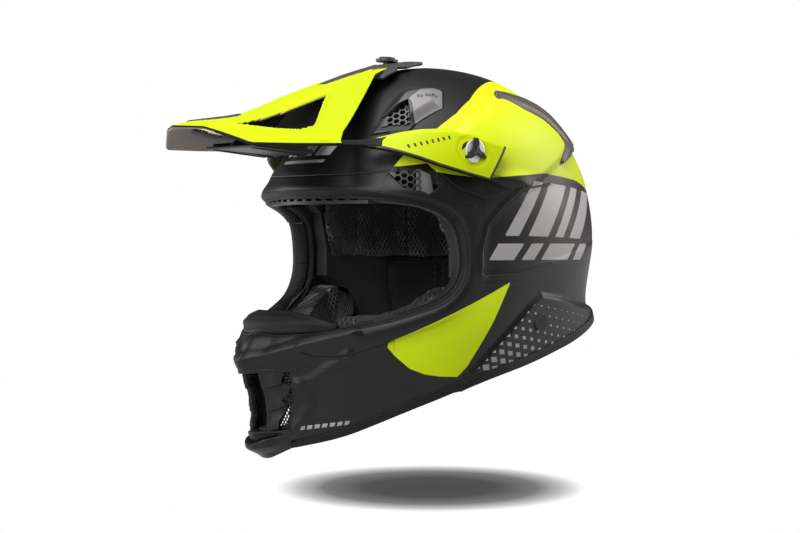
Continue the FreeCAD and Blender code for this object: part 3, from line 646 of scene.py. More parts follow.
BROW_VENT = [(74, -112, 82), (92, -92, 84), (105, -77, 72), (102, -86, 63), (88, -105, 68)]
BROW_VENT_OUT = (0.78, -0.6, 0.18)
EXHAUST = [(12, 106), (36, 104), (32, 116), (12, 119)]
PIVOT = (-56.0, 97.5)
STRAP_PIVOT = (12.0, -36.0)
NECK_RISE = 2.6                             # the shell ends this far above the trim's edge

YELLOW_SIDE = [(-108, 86), (-85, 89), (-80, 81), (-53, 78), (-39, 77), (-23, 78), (0, 80), (21, 82),
               (44, 80), (64, 78), (100, 70), (150, 58), (150, 200), (-120, 200), (-97, 97)]
CROWN_PLAN = [(-20, 66), (0, 66), (34, 46), (62, 2), (79, -28), (85, -47), (86, -58), (86, -68),
              (84, -84), (81, -97), (79, -108), (70, -140), (0, -170), (-20, -170)]
WEDGE = [(-22, -4), (-69, -26), (-117, -50), (-117.5, -54), (-112, -61), (-101, -71), (-90, -75.5),
         (-78, -77.5), (-64, -78), (-57, -70), (-38, -36)]
BARS = [[(2, 75), (16, 75), (-14, 32), (-28, 32)], [(24, 74.5), (47, 73), (19, 31.5), (-4, 32)],
        [(55, 72), (66, 71), (39, 31), (28, 31.3)], [(76, 70), (94, 68), (66, 30), (48, 30.7)],
        [(-34, 26), (-8, 26), (-19, 13), (-43, 13)], [(0, 26), (14, 26), (3, 13), (-11, 13)],
        [(22, 26), (58, 26), (46, 13), (11, 13)], [(66, 26), (80, 26), (68, 13), (54, 13)]]
BROW_BARS = [[(-40, 107), (-33, 107), (-37, 97), (-44, 97)], [(-29, 107), (-22, 107), (-26, 97), (-33, 97)],
             [(-18, 107), (2, 107), (-2, 97), (-22, 97)], [(6, 107), (24, 107), (20, 97), (2, 97)],
             [(-44, 93.5), (18, 93.5), (16.6, 91), (-45.4, 91)]]


def project(points, direction):
    """Coordinates of points in the plane square to a direction."""
    d = np.array(direction, float)
    d /= np.linalg.norm(d)
    u = np.cross((0, 0, 1.0), d)
    u /= np.linalg.norm(u)
    return np.stack([points @ u, points @ np.cross(d, u)], 1)


def vent_field(p, outline, direction, shrink):
    """Positive inside a vent whose outline is seen along a direction."""
    flat = project(np.array(outline, float), direction)
    middle = flat.mean(0)
    return inside(project(p, direction), middle + shrink * (flat - middle))


def seen_along(p, outline, direction):
    """Signed distance to an outline of 3-D points, seen along a direction."""
    return inside(project(p, direction), project(np.array(outline, float), direction))


def from_front(p, outline, behind):
    """Positive inside an outline of (x, z), on the part of the form that lies before y = behind."""
    return np.where(p[:, 1] < behind, inside(p[:, [0, 2]], outline), -FAR)


def mirror_x(p):
    q = p.copy()
    q[:, 0] = np.abs(q[:, 0])
    return q


def eye_out(p):
    """Distance outside the eye port's edge in side view."""
    port = smooth_line(EYE_PORT, 6)
    return -inside(p[:, 1:], port)


def chin_pull(q):
    """The chin bar's tip is narrower than the plain form."""
    return 5.6 * ramp(q[:, 0], 2, 20) * ramp(-q[:, 1], 128, 165) * ramp(-q[:, 2], 34, 50)


def sculpt(p):
    """How far the moulded skin stands proud of the plain form at each point."""
    q = mirror_x(p)
    y, z, x = q[:, 1], q[:, 2], q[:, 0]
    side = q[:, 1:]
    front = ramp(-y, 62, 100)
    d = -1.9 - chin_pull(q)
    d += 2.8 * ramp(y, 88, 116) * ramp(75 - x, 0, 35) * ramp(z, -45, -25)   # full at the rear
    s = eye_out(p)
    above = ramp(z, 40, 60) * front
    d += above * 3.2 * ramp(22 - s, 2, 20)                          # brow flares out
    d += (1 - above) * 1.8 * ramp(26 - s, 0, 18) * ramp(-y, 20, 60)  # raised frame at the sides
    roll = np.where(z > 45, 6.5, 9.0)
    t = np.clip((roll - s) / roll, 0, 1)
    d -= roll * (1 - np.sqrt(np.maximum(0, 1 - t * t))) * 0.85      # rolled inwards at the edge
    d += 0.8 * tent(np.abs(z - 84), 8) * (np.abs(y) > 105)
    d -= 0.5 * ramp(inside(side, SIDE_PANEL), -1, 3)
    shelf_z = np.interp(y, UPPER_LINE[0], UPPER_LINE[1])
    shelf = ramp(90 + y, 0, 16) * ramp(6 - y, 0, 20) * (x > 50)
    over, below = 3.0 * ramp(86 - z, 0, 86 - shelf_z), 2.2 * ramp(z - shelf_z, -24, -0.5)
    d += shelf * np.where(z > shelf_z, over, below)
    d += 1.2 * tent(distance(q, PANEL_RIDGE), 5) * ramp(-inside(side, SIDE_PANEL), 0, 1)
    d += 3.4 * ramp(inside(side, BLOCK), -1, 7)
    d += 2.6 * ramp(inside(side, FLARE), -1.0, 4.0)
    d += 4.6 * tent(distance(q, smooth_line(BEAK)), 9)
    facet = smooth_line(FACET)
    line_z = np.interp(y, facet[:, 1], facet[:, 2])
    near = ramp(-y, 60, 90) * ramp(175 + y, 0, 6)
    d += 1.5 * ramp(z - line_z, -0.6, 0.8) * near * ramp(20 - (z - line_z), 0, 14)
    d += 2.8 * tent(distance(q, FIN_CREASE), 7)
    d += 1.6 * tent(distance(q, CHEEK_CREASE), 7)
    d += 0.9 * tent(distance(q, [(34, -166, -122), (60, -140, -114), (90, -102, -96)]), 12)
    return d


def paint_fields(p):
    q = mirror_x(p)
    side, plan = q[:, 1:], q[:, :2]
    top = np.minimum(inside(side, YELLOW_SIDE), -inside(plan, CROWN_PLAN))
    yellow = np.maximum(top, inside(side, WEDGE))
    grey = np.full(len(p), -FAR)
    for bar in BARS:
        grey = np.maximum(grey, inside(side, bar))
    brow = np.full(len(p), -FAR)
    for bar in BROW_BARS:
        brow = np.maximum(brow, inside(p[:, [0, 2]], bar))
    grey = np.maximum(grey, np.where(p[:, 1] < -80, brow, -FAR))
    dots = np.minimum(inside(side, FLARE) - 3.0, 118 - side[:, 0])
    x, y, z = q[:, 0], q[:, 1], q[:, 2]
    brow_z = np.interp(x, [0, 42, 66, 77], [79.5, 80, 81, 83])
    brow_line = np.where((x < 78) & (y < -80), z - brow_z, FAR)
    upper_z = np.interp(y, *UPPER_LINE)
    upper = np.where((y > -80) & (y < -8) & (x > 50), z - upper_z, FAR)
    panel = np.where(y < 26, inside(side, SIDE_PANEL), FAR)
    panel_line = np.where(np.abs(upper) < np.abs(panel), upper, panel)
    facet = smooth_line(FACET)
    seam = np.where((y > -170) & (y < -112) & (x > 30), z - np.interp(y, facet[:, 1], facet[:, 2]), FAR)
    panel_line = np.where(np.abs(seam) < np.abs(panel_line), seam, panel_line)
    vent = vent_field(q, TOP_VENT, TOP_VENT_OUT, 1.03)
    vent_line = np.where(z > 100, vent, FAR)
    return dict(yellow=yellow, grey=grey, dots=dots, front=-135 - y, brow_line=brow_line,
                panel_line=panel_line, vent_line=vent_line)


def shell_cuts(p):
    """Fields that are positive where the shell stays."""
    q = mirror_x(p)
    neck = smooth_line(NECK_EDGE, 6)
    low = np.interp(p[:, 1], neck[:, 0], neck[:, 1])
    cuts = [p[:, 2] - low - NECK_RISE, eye_out(p)]
    cuts.append(np.where(p[:, 1] < -140, -inside(p[:, [0, 2]], CHIN_HOLE), FAR))
    cuts.append(-vent_field(q, TOP_VENT, TOP_VENT_OUT, 0.80))
    cuts.append(np.where(q[:, 1] < -60, -vent_field(q, BROW_VENT, BROW_VENT_OUT, 0.94), FAR))
    cuts.append(np.where(q[:, 1] > 60, -inside(q[:, [0, 2]], EXHAUST), FAR))
    for centre, radius in ((PIVOT, 5.3), (STRAP_PIVOT, 4.1)):
        round_hole = np.linalg.norm(q[:, 1:] - np.array(centre), axis=1) - radius
        cuts.append(np.where(q[:, 0] > 60, round_hole, FAR))
    cuts.append(np.where(p[:, 2] > 120, np.linalg.norm(p[:, :2] - np.array([0, -50.0]), axis=1) - 5.3, FAR))
    return cuts


def formed(depth, around, levels, proud=None):
    """Grid of the form at a depth: base points, moved points, normals, faces."""
    grid = form_grid(depth, around, levels)
    base = grid.reshape(-1, 3)
    normals = grid_normals(grid).reshape(-1, 3)
    moved = base + normals * proud(base)[:, None] if proud else base
    return base, moved, normals, grid_faces(levels, around)


def make_shell():
    base, moved, normals, faces = formed(0.0, AROUND, LEVELS, sculpt)
    paint = paint_fields(base)
    names = sorted(paint)
    cuts = shell_cuts(base)
    data = np.column_stack([moved, normals] + [paint[n] for n in names] + cuts)
    first = 6 + len(names)
    for k in range(len(cuts)):
        data, faces = clip(data, faces, data[:, first + k])
    data, faces = weld(data, faces)
    n = vertex_normals(data, faces)
    data, faces, n = add_walls(data, faces, rounded(0.8, SHELL_T + 0.4), n)
    attrs = {name: data[:, 6 + i] for i, name in enumerate(names)}
    return build("helmet_shell", data[:, :3], faces, shell_paint(), attrs)


shell = make_shell()

place(shell, "helmet", "shell_black", "outer_shell")


# ---------------------------------------------------------------- applied parts


def applied(name, region, material, depth, thick, proud=None, extra=None, holes=(), edge=0.8,
            detail=1.0, mirror=False, lift=0.0):
    """A part moulded over the form inside a region: its top lies depth under the form.

    The region and the rest are worked out on points moved out by lift."""
    around, levels = int(AROUND * 1.5 * detail), int(LEVELS * 1.5 * detail)
    base, moved, normals, faces = formed_cached(around, levels)
    spot = base + normals * lift
    f = region(spot)
    near = np.zeros(len(base), bool)
    near[faces[(f[faces] > -1.0).any(1)].ravel()] = True
    keep = near[faces].all(1)
    index = np.full(len(base), -1)
    index[near] = np.arange(near.sum())
    base, normals, faces = base[near], normals[near], index[faces[keep]]
    f, spot = f[near], spot[near]
    height = np.full(len(base), -float(depth))
    if proud is not None:
        height = height + proud(spot)
    fields = extra(spot) if extra else {}
    names = sorted(fields)
    cuts = [f] + [h(spot) for h in holes]
    data = np.column_stack([base + normals * height[:, None], np.zeros(len(base))]
                           + [fields[n] for n in names] + cuts)
    first = 4 + len(names)
    for k in range(len(cuts)):
        data, faces = clip(data, faces, data[:, first + k])
    data, faces = weld(data, faces)
    n = vertex_normals(data, faces)
    data, faces, _ = add_walls(data, faces, rounded(edge, thick), n, flag=3)
    if mirror:
        data[:, 0] *= -1
        faces = faces[:, ::-1]
    attrs = {key: data[:, 4 + i] for i, key in enumerate(names)}
    attrs["cut"] = data[:, 3]
    return build(name, data[:, :3], faces, material, attrs)


GRID_CACHE = {}


def formed_cached(around, levels):
    if (around, levels) not in GRID_CACHE:
        GRID_CACHE[around, levels] = formed(0.0, around, levels)
    return GRID_CACHE[around, levels]


def pair(name, nodes, body, slot, **options):
    """The left part and its mirror image, in the places of nodes_left and nodes_right."""
    for side, flip in SIDES:
        obj = applied(name + "_" + side, mirror=flip, **options)
        place(obj, body, slot, *[n + "_" + side for n in nodes])


# ---------------------------------------------------------------- peak
RIDGE = [(-264, 114.5), (-226, 121), (-190, 127), (-165, 134.5), (-137, 144.5), (-110, 154.5),
         (-82, 164), (-62, 170.0)]
CREASE = [(22, 110.5), (25, 118), (25, 124.5), (25, 132.5), (25, 143.5), (25, 153), (25, 161.5),
          (25, 166)]
EDGE = [(59, 99.5), (57, 101.7), (61.5, 102), (65.5, 102.5), (70, 103.2), (75, 104), (80, 105),
        (84, 106)]
PEAK_PLAN = [(0, -258), (30, -243), (55.5, -227), (57.5, -224), (62, -190), (68.5, -149.5), (66, -148.5),
             (58, -140), (25, -82), (15, -62)]
WINDOW = [(30, -221), (28, -194), (27.5, -168), (28, -132), (36, -144), (47.5, -159), (48, -173),
          (42, -191), (36, -206)]
PEAK_T = 2.6


def peak_paint():
    p = Paint("peak_paint")
    dark = p.attribute("dark").edge(0.4)
    cut = p.map(p.attribute("cut"), 0.3, 0.8, 0.0, 1.0)
    yellow = p.mix(p.noise(12, 3), (0.53, 0.66, 0.0), (0.58, 0.70, 0.0))
    grey = p.mix(p.noise(18, 4), (0.68, 0.59, 0.53), (0.80, 0.70, 0.63))
    ticks = dash_row(p, (-101.0, 100.9), (4.2, 1.0), 8, 0.36, 1.4, 0.2)
    black = (0.014, 0.015, 0.013)
    colour = p.mix(dark, yellow, p.mix(p.noise(60, 3), (0.05, 0.047, 0.046), (0.075, 0.07, 0.068)))
    edge = p.mix(p.attribute("under").edge(0.2), black, grey)
    colour = p.mix(ticks * p.attribute("arm"), colour, (0.03, 0.03, 0.0))
    colour = p.mix(cut, colour, edge)
    # convex edges lightened in patches: painted highlight, partly rubbed wear
    colour = p.mix(p.wear_and_highlight(0.56, 0.64, 0.25, 220), colour, (0.5, 0.52, 0.35))
    # painted glow: the yellow emits a little light
    lit = p.mix(dark.op("MAXIMUM", cut), yellow, (0.0, 0.0, 0.0))
    p.set(Base_Color=colour, Roughness=p.uneven(30, 5, 0.40, 0.48),
          Normal=p.bump(p.noise(900, 3), 0.00004), Specular_IOR_Level=0.16,
          Emission_Color=lit, Emission_Strength=0.04)
    return p.material


def make_peak():
    rows, cols = 300, 30
    ridge = np.array(RIDGE, float)
    t = ridge[:, 0]
    at = np.linspace(-262, -62, rows)
    zr = spline(t, ridge[:, 1], at)
    crease, edge = spline(t, np.array(CREASE, float), at), np.array(
        [np.interp(at, t, np.array(EDGE)[:, k]) for k in (0, 1)]).T
    lines = []
    for k in range(cols + 1):
        f = k / cols
        lines.append(np.stack([crease[:, 0] * f, at, zr + (crease[:, 1] - zr) * f], 1))
    for k in range(1, 2 * cols + 1):
        f = k / (2 * cols)
        x = crease[:, 0] + (edge[:, 0] + 1 - crease[:, 0]) * f
        hollow = -1.6 * math.sin(math.pi * f) * ramp(at, -262, -150)
        lines.append(np.stack([x, at, crease[:, 1] + (edge[:, 1] - crease[:, 1]) * f + hollow], 1))
    halfgrid = np.array(lines)
    flipped = halfgrid[1:][::-1] * np.array([-1, 1, 1])
    grid = np.concatenate([flipped, halfgrid])
    n, m = grid.shape[:2]
    idx = np.arange(n * m).reshape(n, m)
    faces = quads(idx[:-1, :-1], idx[1:, :-1], idx[1:, 1:], idx[:-1, 1:])
    p = grid.reshape(-1, 3)
    q = np.abs(p[:, 0])
    plan = np.stack([q, p[:, 1]], 1)
    whole = PEAK_PLAN + [(-30, -62), (-30, -258)]
    outline = inside(plan, whole)
    opening = inside(plan, WINDOW)
    shape = p.copy()
    shape[:, 2] += 1.2 * tent(np.abs(opening), 3.0) * (opening < 0)      # raised rim
    nose = inside(plan, [(-6, -246), (0, -246), (6, -228), (8, -204), (3, -196), (-6, -198)])
    strip = inside(plan, [(-9, -116), (5, -116), (9, -84), (8, -60), (-9, -60)])
    dark = np.maximum(nose, strip)
    shape[:, 2] += 1.3 * ramp(dark, -0.5, 0.7)
    data = np.column_stack([shape, np.zeros(len(p)), dark, outline, -opening])
    for k in (5, 6):
        data, faces = clip(data, faces, data[:, k])
    data, faces = weld(data, faces)
    normals = vertex_normals(data, faces)
    data, faces, normals = add_walls(data, faces, rounded(0.7, PEAK_T), normals, flag=3)
    wall = (np.abs(data[:, 6]) < 0.4) & (data[:, 1] > -200)
    front = (data[:, 0] < 10) | ((data[:, 0] < 32) & (data[:, 1] < -222))
    under = np.where((normals_down(data, faces) & front) | wall, 1.0, -1.0)
    attrs = dict(cut=data[:, 3], dark=data[:, 4], under=under, arm=np.zeros(len(data)))
    return build("peak_visor", data[:, :3], faces, peak_paint(), attrs)


def normals_down(data, faces):
    """Points whose faces look down."""
    return vertex_normals(data, faces)[:, 2] < -0.35


peak = make_peak()
place(peak, "peak_unit", "peak_yellow", "peak")

ARM = [(-122, 103), (-113, 108.5), (-100, 113), (-88, 115.3), (-72, 116), (-50, 110),
       (-27, 102), (-47, 75.5), (-63, 80), (-84, 87), (-102, 95)]
ARM_EDGE = [(-26, 103), (-47, 75), (-63, 79.5), (-84, 86.5), (-102, 94.5), (-114, 100)]
ARM_BAND = [(-122, 104), (-100, 110), (-84, 112), (-67, 112.5), (-50, 107.5), (-33, 102), (-20, 98),
            (-20, 125), (-122, 125)]


def arm_region(p):
    side = inside(p[:, 1:], ARM)
    return np.where(p[:, 0] > 0, side, -FAR)


def arm_hole(p):
    return np.linalg.norm(p[:, 1:] - np.array(PIVOT), axis=1) - 3.3


def arm_proud(p):
    band = inside(p[:, 1:], ARM_BAND)
    boss = 1.2 * ramp(13.5 - np.linalg.norm(p[:, 1:] - np.array(PIVOT), axis=1), 0, 2.5)
    return -2.2 * ramp(band, -0.5, 6.0) - boss * 0.6


def arm_fields(p):
    rim = 1.5 - distance(p[:, 1:], ARM_EDGE)
    return dict(dark=rim, under=np.full(len(p), -1.0), arm=np.ones(len(p)))


pair("peak_arm", (), "peak_unit", "peak_yellow", region=arm_region, material=peak.data.materials[0],
     depth=-10.0, thick=3.2, proud=arm_proud, extra=arm_fields, holes=(arm_hole,), edge=0.7, lift=10.0)

BRIDGE = [(-168, [(60.5, 101.5), (65, 101.5), (64, 104.0), (59.5, 104.0)]),
          (-150, [(63, 101.7), (68.2, 101.7), (66, 105.2), (61, 105.2)]),
          (-130, [(64, 101.7), (69, 101.7), (66.5, 106.0), (61.5, 106.0)]),
          (-112, [(70.5, 101.4), (75, 101.2), (71, 107.6), (66.5, 108.0)]),
          (-97, [(86, 98.2), (91, 97.7), (81, 112.5), (76, 113)])]


def bar_mesh(name, stations, material, flip, bevel=0.9):
    """Bevelled bar through quads (x, z) along y."""
    rows = [[(x, y, z) for x, z in quad] for y, quad in stations]
    verts = np.array(rows, float).reshape(-1, 3)
    faces = [(0, 1, 2, 3)]
    for k in range(len(rows) - 1):
        for i in range(4):
            a, b = 4 * k + i, 4 * k + (i + 1) % 4
            faces.append((b, a, a + 4, b + 4))
    top = 4 * (len(rows) - 1)
    faces.append((top + 3, top + 2, top + 1, top))
    if flip:
        verts[:, 0] *= -1
        faces = [f[::-1] for f in faces]
    obj = build(name, verts, faces, material)
    bevelled(obj, bevel, 3)
    return obj


def bevelled(obj, width, segments, angle=30):
    m = obj.modifiers.new("edges", "BEVEL")
    m.width, m.segments, m.limit_method = width * MM, segments, "ANGLE"
    m.angle_limit = math.radians(angle)
    m.harden_normals = True
    return obj


black_plastic = moulded("black_plastic", (0.0075, 0.0075, 0.007), 0.44, specular=0.35)
grey_plastic = moulded("grey_plastic", (0.052, 0.049, 0.048), 0.44)
for side, flip in SIDES:
    bridge = bar_mesh("peak_bridge_" + side, BRIDGE, black_plastic, flip)
    place(bridge, "peak_unit", "trim_black")
DECK = [(-205, [(-33, 99.6), (33, 99.6), (33, 101.8), (-33, 101.8)]),
        (-178, [(-35, 97.6), (35, 97.6), (35, 100.6), (-35, 100.6)]),
        (-151, [(-37, 95.2), (37, 95.2), (36, 98.8), (-36, 98.8)])]
DECK_RIB = [(-203, [(24, 98.6), (27, 98.6), (27, 104), (24, 104)]),
            (-152, [(26, 94.2), (29, 94.2), (29, 108), (26, 108)])]
place(bar_mesh("peak_deck", DECK, black_plastic, False), "peak_unit", "trim_black", "peak_lower_deck")
for side, flip in SIDES:
    rib = bar_mesh("peak_deck_rib_" + side, DECK_RIB, black_plastic, flip, 0.6)
    place(rib, "peak_unit", "trim_black")


# ---------------------------------------------------------------- vents and trims


def neck_height(p):
    neck = smooth_line(NECK_EDGE, 6)
    return p[:, 2] - np.interp(p[:, 1], neck[:, 0], neck[:, 1])


def shrunk(points, factor):
    p = np.array(points, float)
    return p.mean(0) + factor * (p - p.mean(0))


SCOOP_RECESS = [(46, -96, 124), (59, -75, 139), (72, -82, 121), (74, -89, 114), (50, -103, 114)]
SCOOP_PANEL = [(58, -74, 139), (58, -63, 146), (64, -44, 150), (80, -54, 135), (76, -82, 118),
               (63, -75, 135)]
SCOOP_MARKS = [(63, -67, 141), (66, -61, 142), (68, -56, 142)]
SPOILER_SIDE = [(-10, 190), (-10, 120), (34, 110), (42, 93), (46, 91.5), (70, 101), (112, 110), (160, 112),
                (160, 190)]
SPOILER_PLAN = [(-5, 88), (44, 90), (66, 62), (74, 24), (75, 2), (82, -2), (87, 20), (86, 44), (89, 62),
                (99, 54), (110, 42), (122, 60), (100, 110), (40, 140), (-5, 140)]


def scoop_paint():
    p = Paint("scoop_plastic")
    panel = p.attribute("panel").edge(0.4)
    marks = p.attribute("marks").edge(0.3)
    black = p.mix(p.noise(20, 3), (0.018, 0.0175, 0.017), (0.026, 0.025, 0.0245))
    grey = p.mix(p.noise(25, 3), (0.19, 0.183, 0.183), (0.24, 0.233, 0.233))
    colour = p.mix(panel, black, grey)
    colour = p.mix(marks, colour, (0.03, 0.03, 0.03))
    p.set(Base_Color=colour, Roughness=p.uneven(40, 4, 0.34, 0.42),
          Normal=p.bump(p.noise(1100, 3), 0.00004))
    return p.material


def scoop_region(p):
    return np.where(p[:, 0] > 0, vent_field(p, TOP_VENT, TOP_VENT_OUT, 1.0), -FAR)


def scoop_fields(p):
    panel = seen_along(p, SCOOP_PANEL, TOP_VENT_OUT)
    flat = project(p, TOP_VENT_OUT)
    marks = np.full(len(p), -FAR)
    for centre in project(np.array(SCOOP_MARKS, float), TOP_VENT_OUT):
        off = np.abs(flat - centre)
        marks = np.maximum(marks, np.minimum(2.2 - off[:, 0], 1.7 - off[:, 1]))
        marks = np.where((off[:, 0] < 1.0) & (off[:, 1] < 0.6), -1.0, marks)
    return dict(panel=panel, marks=marks)


def scoop_proud(p):
    f = scoop_region(p)
    panel = seen_along(p, SCOOP_PANEL, TOP_VENT_OUT)
    return 4.0 * ramp(f, -0.5, 9) - 0.6 * ramp(panel, -0.2, 0.5) - 1.6


def scoop_mouth(p):
    return -seen_along(p, SCOOP_RECESS, TOP_VENT_OUT)


pair("top_scoop", ("top_vent_scoop",), "helmet", "vent_grey", region=scoop_region,
     material=scoop_paint(), depth=-0.9, thick=6.2, proud=scoop_proud, extra=scoop_fields,
     holes=(scoop_mouth,), edge=0.6, detail=1.3)


def spoiler_region(p):
    q = mirror_x(p)
    return np.minimum(inside(q[:, :2], SPOILER_PLAN), inside(q[:, 1:], SPOILER_SIDE))


def spoiler_mouth(p):
    q = mirror_x(p)
    return np.where(q[:, 1] > 60, -inside(q[:, [0, 2]], EXHAUST), FAR)


# lighter colour on the convex edges: painted highlight, partly rubbed wear
spoiler_grey = moulded("spoiler_plastic", (0.088, 0.074, 0.071), 0.42, wear_highlight_colour=(0.2, 0.19, 0.18))
spoiler = applied("rear_spoiler_visual", spoiler_region, spoiler_grey, -2.9, 4.6,
                  holes=(spoiler_mouth,), edge=1.2,
                  proud=lambda p: -1.4 * ramp(4 - spoiler_region(p), 0, 4))
place(spoiler, "helmet", "spoiler_grey", "rear_spoiler")

black_mesh = moulded("grille_plastic", (0.020, 0.0195, 0.019), 0.38)


def beads(name, colour):
    """Moulded bead foam."""
    p = Paint(name)
    cell = p.voronoi(330, "DISTANCE_TO_EDGE")
    p.set(Base_Color=p.mix(p.map(cell, 0.0, 0.12, 0.0, 1.0), tuple(c * 0.5 for c in colour), colour),
          Roughness=0.8, Normal=p.bump(cell, 0.00035))
    return p.material


rubber = moulded("edge_rubber", (0.0065, 0.0065, 0.0062), 0.58, grain=0.00009, specular=0.25)


def neck_band(p):
    h = neck_height(p) - NECK_RISE
    return np.minimum(h + 1.2, 4.4 - h)


neck_trim = applied("neck_edge_strip", neck_band, rubber, -1.3, 6.0, proud=sculpt, edge=1.0)
place(neck_trim, "helmet", "edge_rubber", "neck_edge_trim")


def guard_region(p):
    outline = [(-58, -40), (58, -40), (60, -37.5), (44, -31), (22, -26.3), (-22, -26.3), (-44, -31),
               (-60, -37.5)]
    return from_front(p, outline, -110)


guard = applied("breath_guard_visual", guard_region, rubber, -1.4, 14.0, edge=2.4,
                proud=lambda p: 1.6 * ramp(guard_region(p), 0, 5) - 2.5 - 0.8 * chin_pull(mirror_x(p)))
place(guard, "helmet", "edge_rubber", "breath_guard")


def eye_band(p):
    e = eye_out(p)
    return np.minimum(e + 1.8, 2.4 - e)


eye_trim = applied("eye_port_strip", eye_band, rubber, -0.7, 13.0, proud=sculpt, edge=0.8, detail=1.2)
place(eye_trim, "helmet", "edge_rubber", "eye_port_trim")


def chin_core(p):
    field = np.minimum(eye_out(p) - 1.0, neck_height(p) - 6.0)
    return np.minimum(field, np.minimum(-62 - p[:, 1], 60 - p[:, 2]))


def vent_gap(p):
    return -from_front(p, shrunk(CHIN_HOLE, 0.92), -130)


chin_beads = beads("chin_bead_foam", (0.02, 0.02, 0.02))
chin_core_foam = applied("chin_bar_foam", chin_core, chin_beads, 12.5, 12.0, edge=1.0,
                         holes=(vent_gap,))
place(chin_core_foam, "helmet", "foam_black", "chin_foam")

FRAME_IN = [(-35, -75), (35, -75), (29, -121.5), (-29, -121.5)]
FLANK = [(14.5, -73), (32, -74), (27.5, -84), (33, -87), (25.5, -97), (29, -100.5), (22.5, -112),
         (22, -122), (14.5, -122)]


def chin_front(outline):
    return lambda p: from_front(mirror_x(p), outline, -135)


def housing_region(p):
    return from_front(p, shrunk(CHIN_HOLE, 0.985), -140)


def housing_proud(p):
    return -1.5 * ramp(np.abs(p[:, 0]), 20, 36) - chin_pull(mirror_x(p))


housing = applied("chin_vent_frame", housing_region, black_plastic, 1.2, 9.0, edge=0.7, detail=1.3,
                  holes=(lambda p: -chin_front(FRAME_IN)(p),), proud=housing_proud)
place(housing, "helmet", "trim_black", "chin_vent_housing")


def flank_proud(p):
    """Three blades one above the other, each standing out at its lower edge."""
    x, z = p[:, 0], p[:, 2]
    place_on = ((z + 74) - 0.34 * (x - 15)) / -16.0
    blade = place_on - np.floor(place_on)
    step = ramp(blade, 0.0, 0.92) * ramp(1 - blade, 0, 0.08) * (0.35 + 0.65 * ramp(x, 15, 25))
    return 2.6 * step - 2.0 * ramp(x, 22, 34) - chin_pull(p)


def flank_region(p):
    return np.where(p[:, 0] > 0, from_front(p, FLANK, -135), -FAR)


pair("chin_flank", ("chin_louvres",), "helmet", "trim_black", region=flank_region,
     material=black_plastic, depth=2.2, thick=4.0, edge=0.5, detail=2.0, proud=flank_proud)


def on_form(x, z, depth):
    """Points on the chin's front, depth under the pulled-in skin."""
    base, _, normals, _ = formed_cached(int(AROUND * 1.5), int(LEVELS * 1.5))
    near = (base[:, 1] < -120) & (base[:, 0] > -5) & (base[:, 0] < 60) & (base[:, 2] < -60)
    base, normals = base[near], normals[near]
    out = []
    for px, pz in zip(x, z):
        gap = np.hypot(base[:, 0] - px, base[:, 2] - pz)
        take = np.argsort(gap)[:6]
        weight = 1 / (gap[take] + 0.2) ** 2
        weight /= weight.sum()
        point, normal = weight @ base[take], weight @ normals[take]
        out.append(point - normal * (depth + chin_pull(point[None])[0]))
    return np.array(out)


def net(name, flip):
    """Fine woven screen behind the gaps of the chin vent."""
    verts, faces = [], []
    rows, cols = 20, 10
    gx = np.array([[17.5 + 2.0 * (j + 0.5 * (i % 2)) for j in range(cols)] for i in range(rows)])
    gz = np.array([[-75.0 - 2.4 * i for j in range(cols)] for i in range(rows)])
    nodes = on_form(gx.ravel(), gz.ravel(), 5.5).reshape(rows, cols, 3)
    for i in range(rows - 1):
        for j in range(cols):
            for k in ((j, j - 1) if i % 2 == 0 else (j, j + 1)):
                if 0 <= k < cols:
                    strut(verts, faces, nodes[i, j], nodes[i + 1, k], 0.42)
    verts = np.array(verts)
    faces = np.array(faces)
    if flip:
        verts[:, 0] *= -1
        faces = faces[:, ::-1]
    return build(name, verts, faces, black_mesh)


def strut(verts, faces, a, b, half):
    """Square bar from a to b."""
    line = (b - a) / np.linalg.norm(b - a)
    side = np.cross(line, (0.6, -0.8, 0.0))
    side /= np.linalg.norm(side)
    up = np.cross(line, side)
    start = len(verts)
    for end in (a, b):
        for u, v in ((-1, -1), (1, -1), (1, 1), (-1, 1)):
            verts.append(end + side * (u * half) + up * (v * half))
    for k in range(4):
        j = (k + 1) % 4
        faces.append((start + k, start + j, start + 4 + j))
        faces.append((start + k, start + 4 + j, start + 4 + k))
    faces += [(start, start + 2, start + 1), (start, start + 3, start + 2),
              (start + 4, start + 5, start + 6), (start + 4, start + 6, start + 7)]


for side, flip in SIDES:
    place(net("chin_screen_" + side, flip), "helmet", "grille_black", "chin_grille_" + side)

LIP = [(-19, -141), (19, -141), (30, -125.5), (12, -127), (0, -130), (-12, -127), (-30, -125.5)]


def lip_region(p):
    return np.where(p[:, 1] < -145, np.minimum(inside(p[:, [0, 2]], LIP), neck_height(p) - 3.2), -FAR)


def lip_proud(p):
    """A ridge along the middle that runs out towards the ends."""
    x = np.abs(p[:, 0])
    ridge = 3.0 * tent(np.abs(p[:, 2] + 131), 6) * ramp(28 - x, 0, 16)
    return ridge - 2.8 * ramp(x, 14, 30) - 0.8 * chin_pull(mirror_x(p))


lip = applied("chin_lip_visual", lip_region, black_plastic, -1.6, 6.0, edge=0.9, detail=1.2,
              proud=lip_proud)
place(lip, "helmet", "trim_black", "chin_lower_lip")

BLADE = [(90, -92, 89), (97, -86, 86), (104, -88, 66), (97, -98, 60)]


def blade_region(p):
    flat = seen_along(p, BLADE, BROW_VENT_OUT)
    vent = vent_field(p, BROW_VENT, BROW_VENT_OUT, 0.97)
    return np.where((p[:, 0] > 40) & (p[:, 1] < -50), np.minimum(flat, vent), -FAR)


def blade_proud(p):
    """The blade rises from one side of its outline to the other."""
    ends = np.sort(project(np.array(BLADE[:3:2], float), BROW_VENT_OUT)[:, 0])
    return 2.2 * ramp(project(p, BROW_VENT_OUT)[:, 0], *ends)


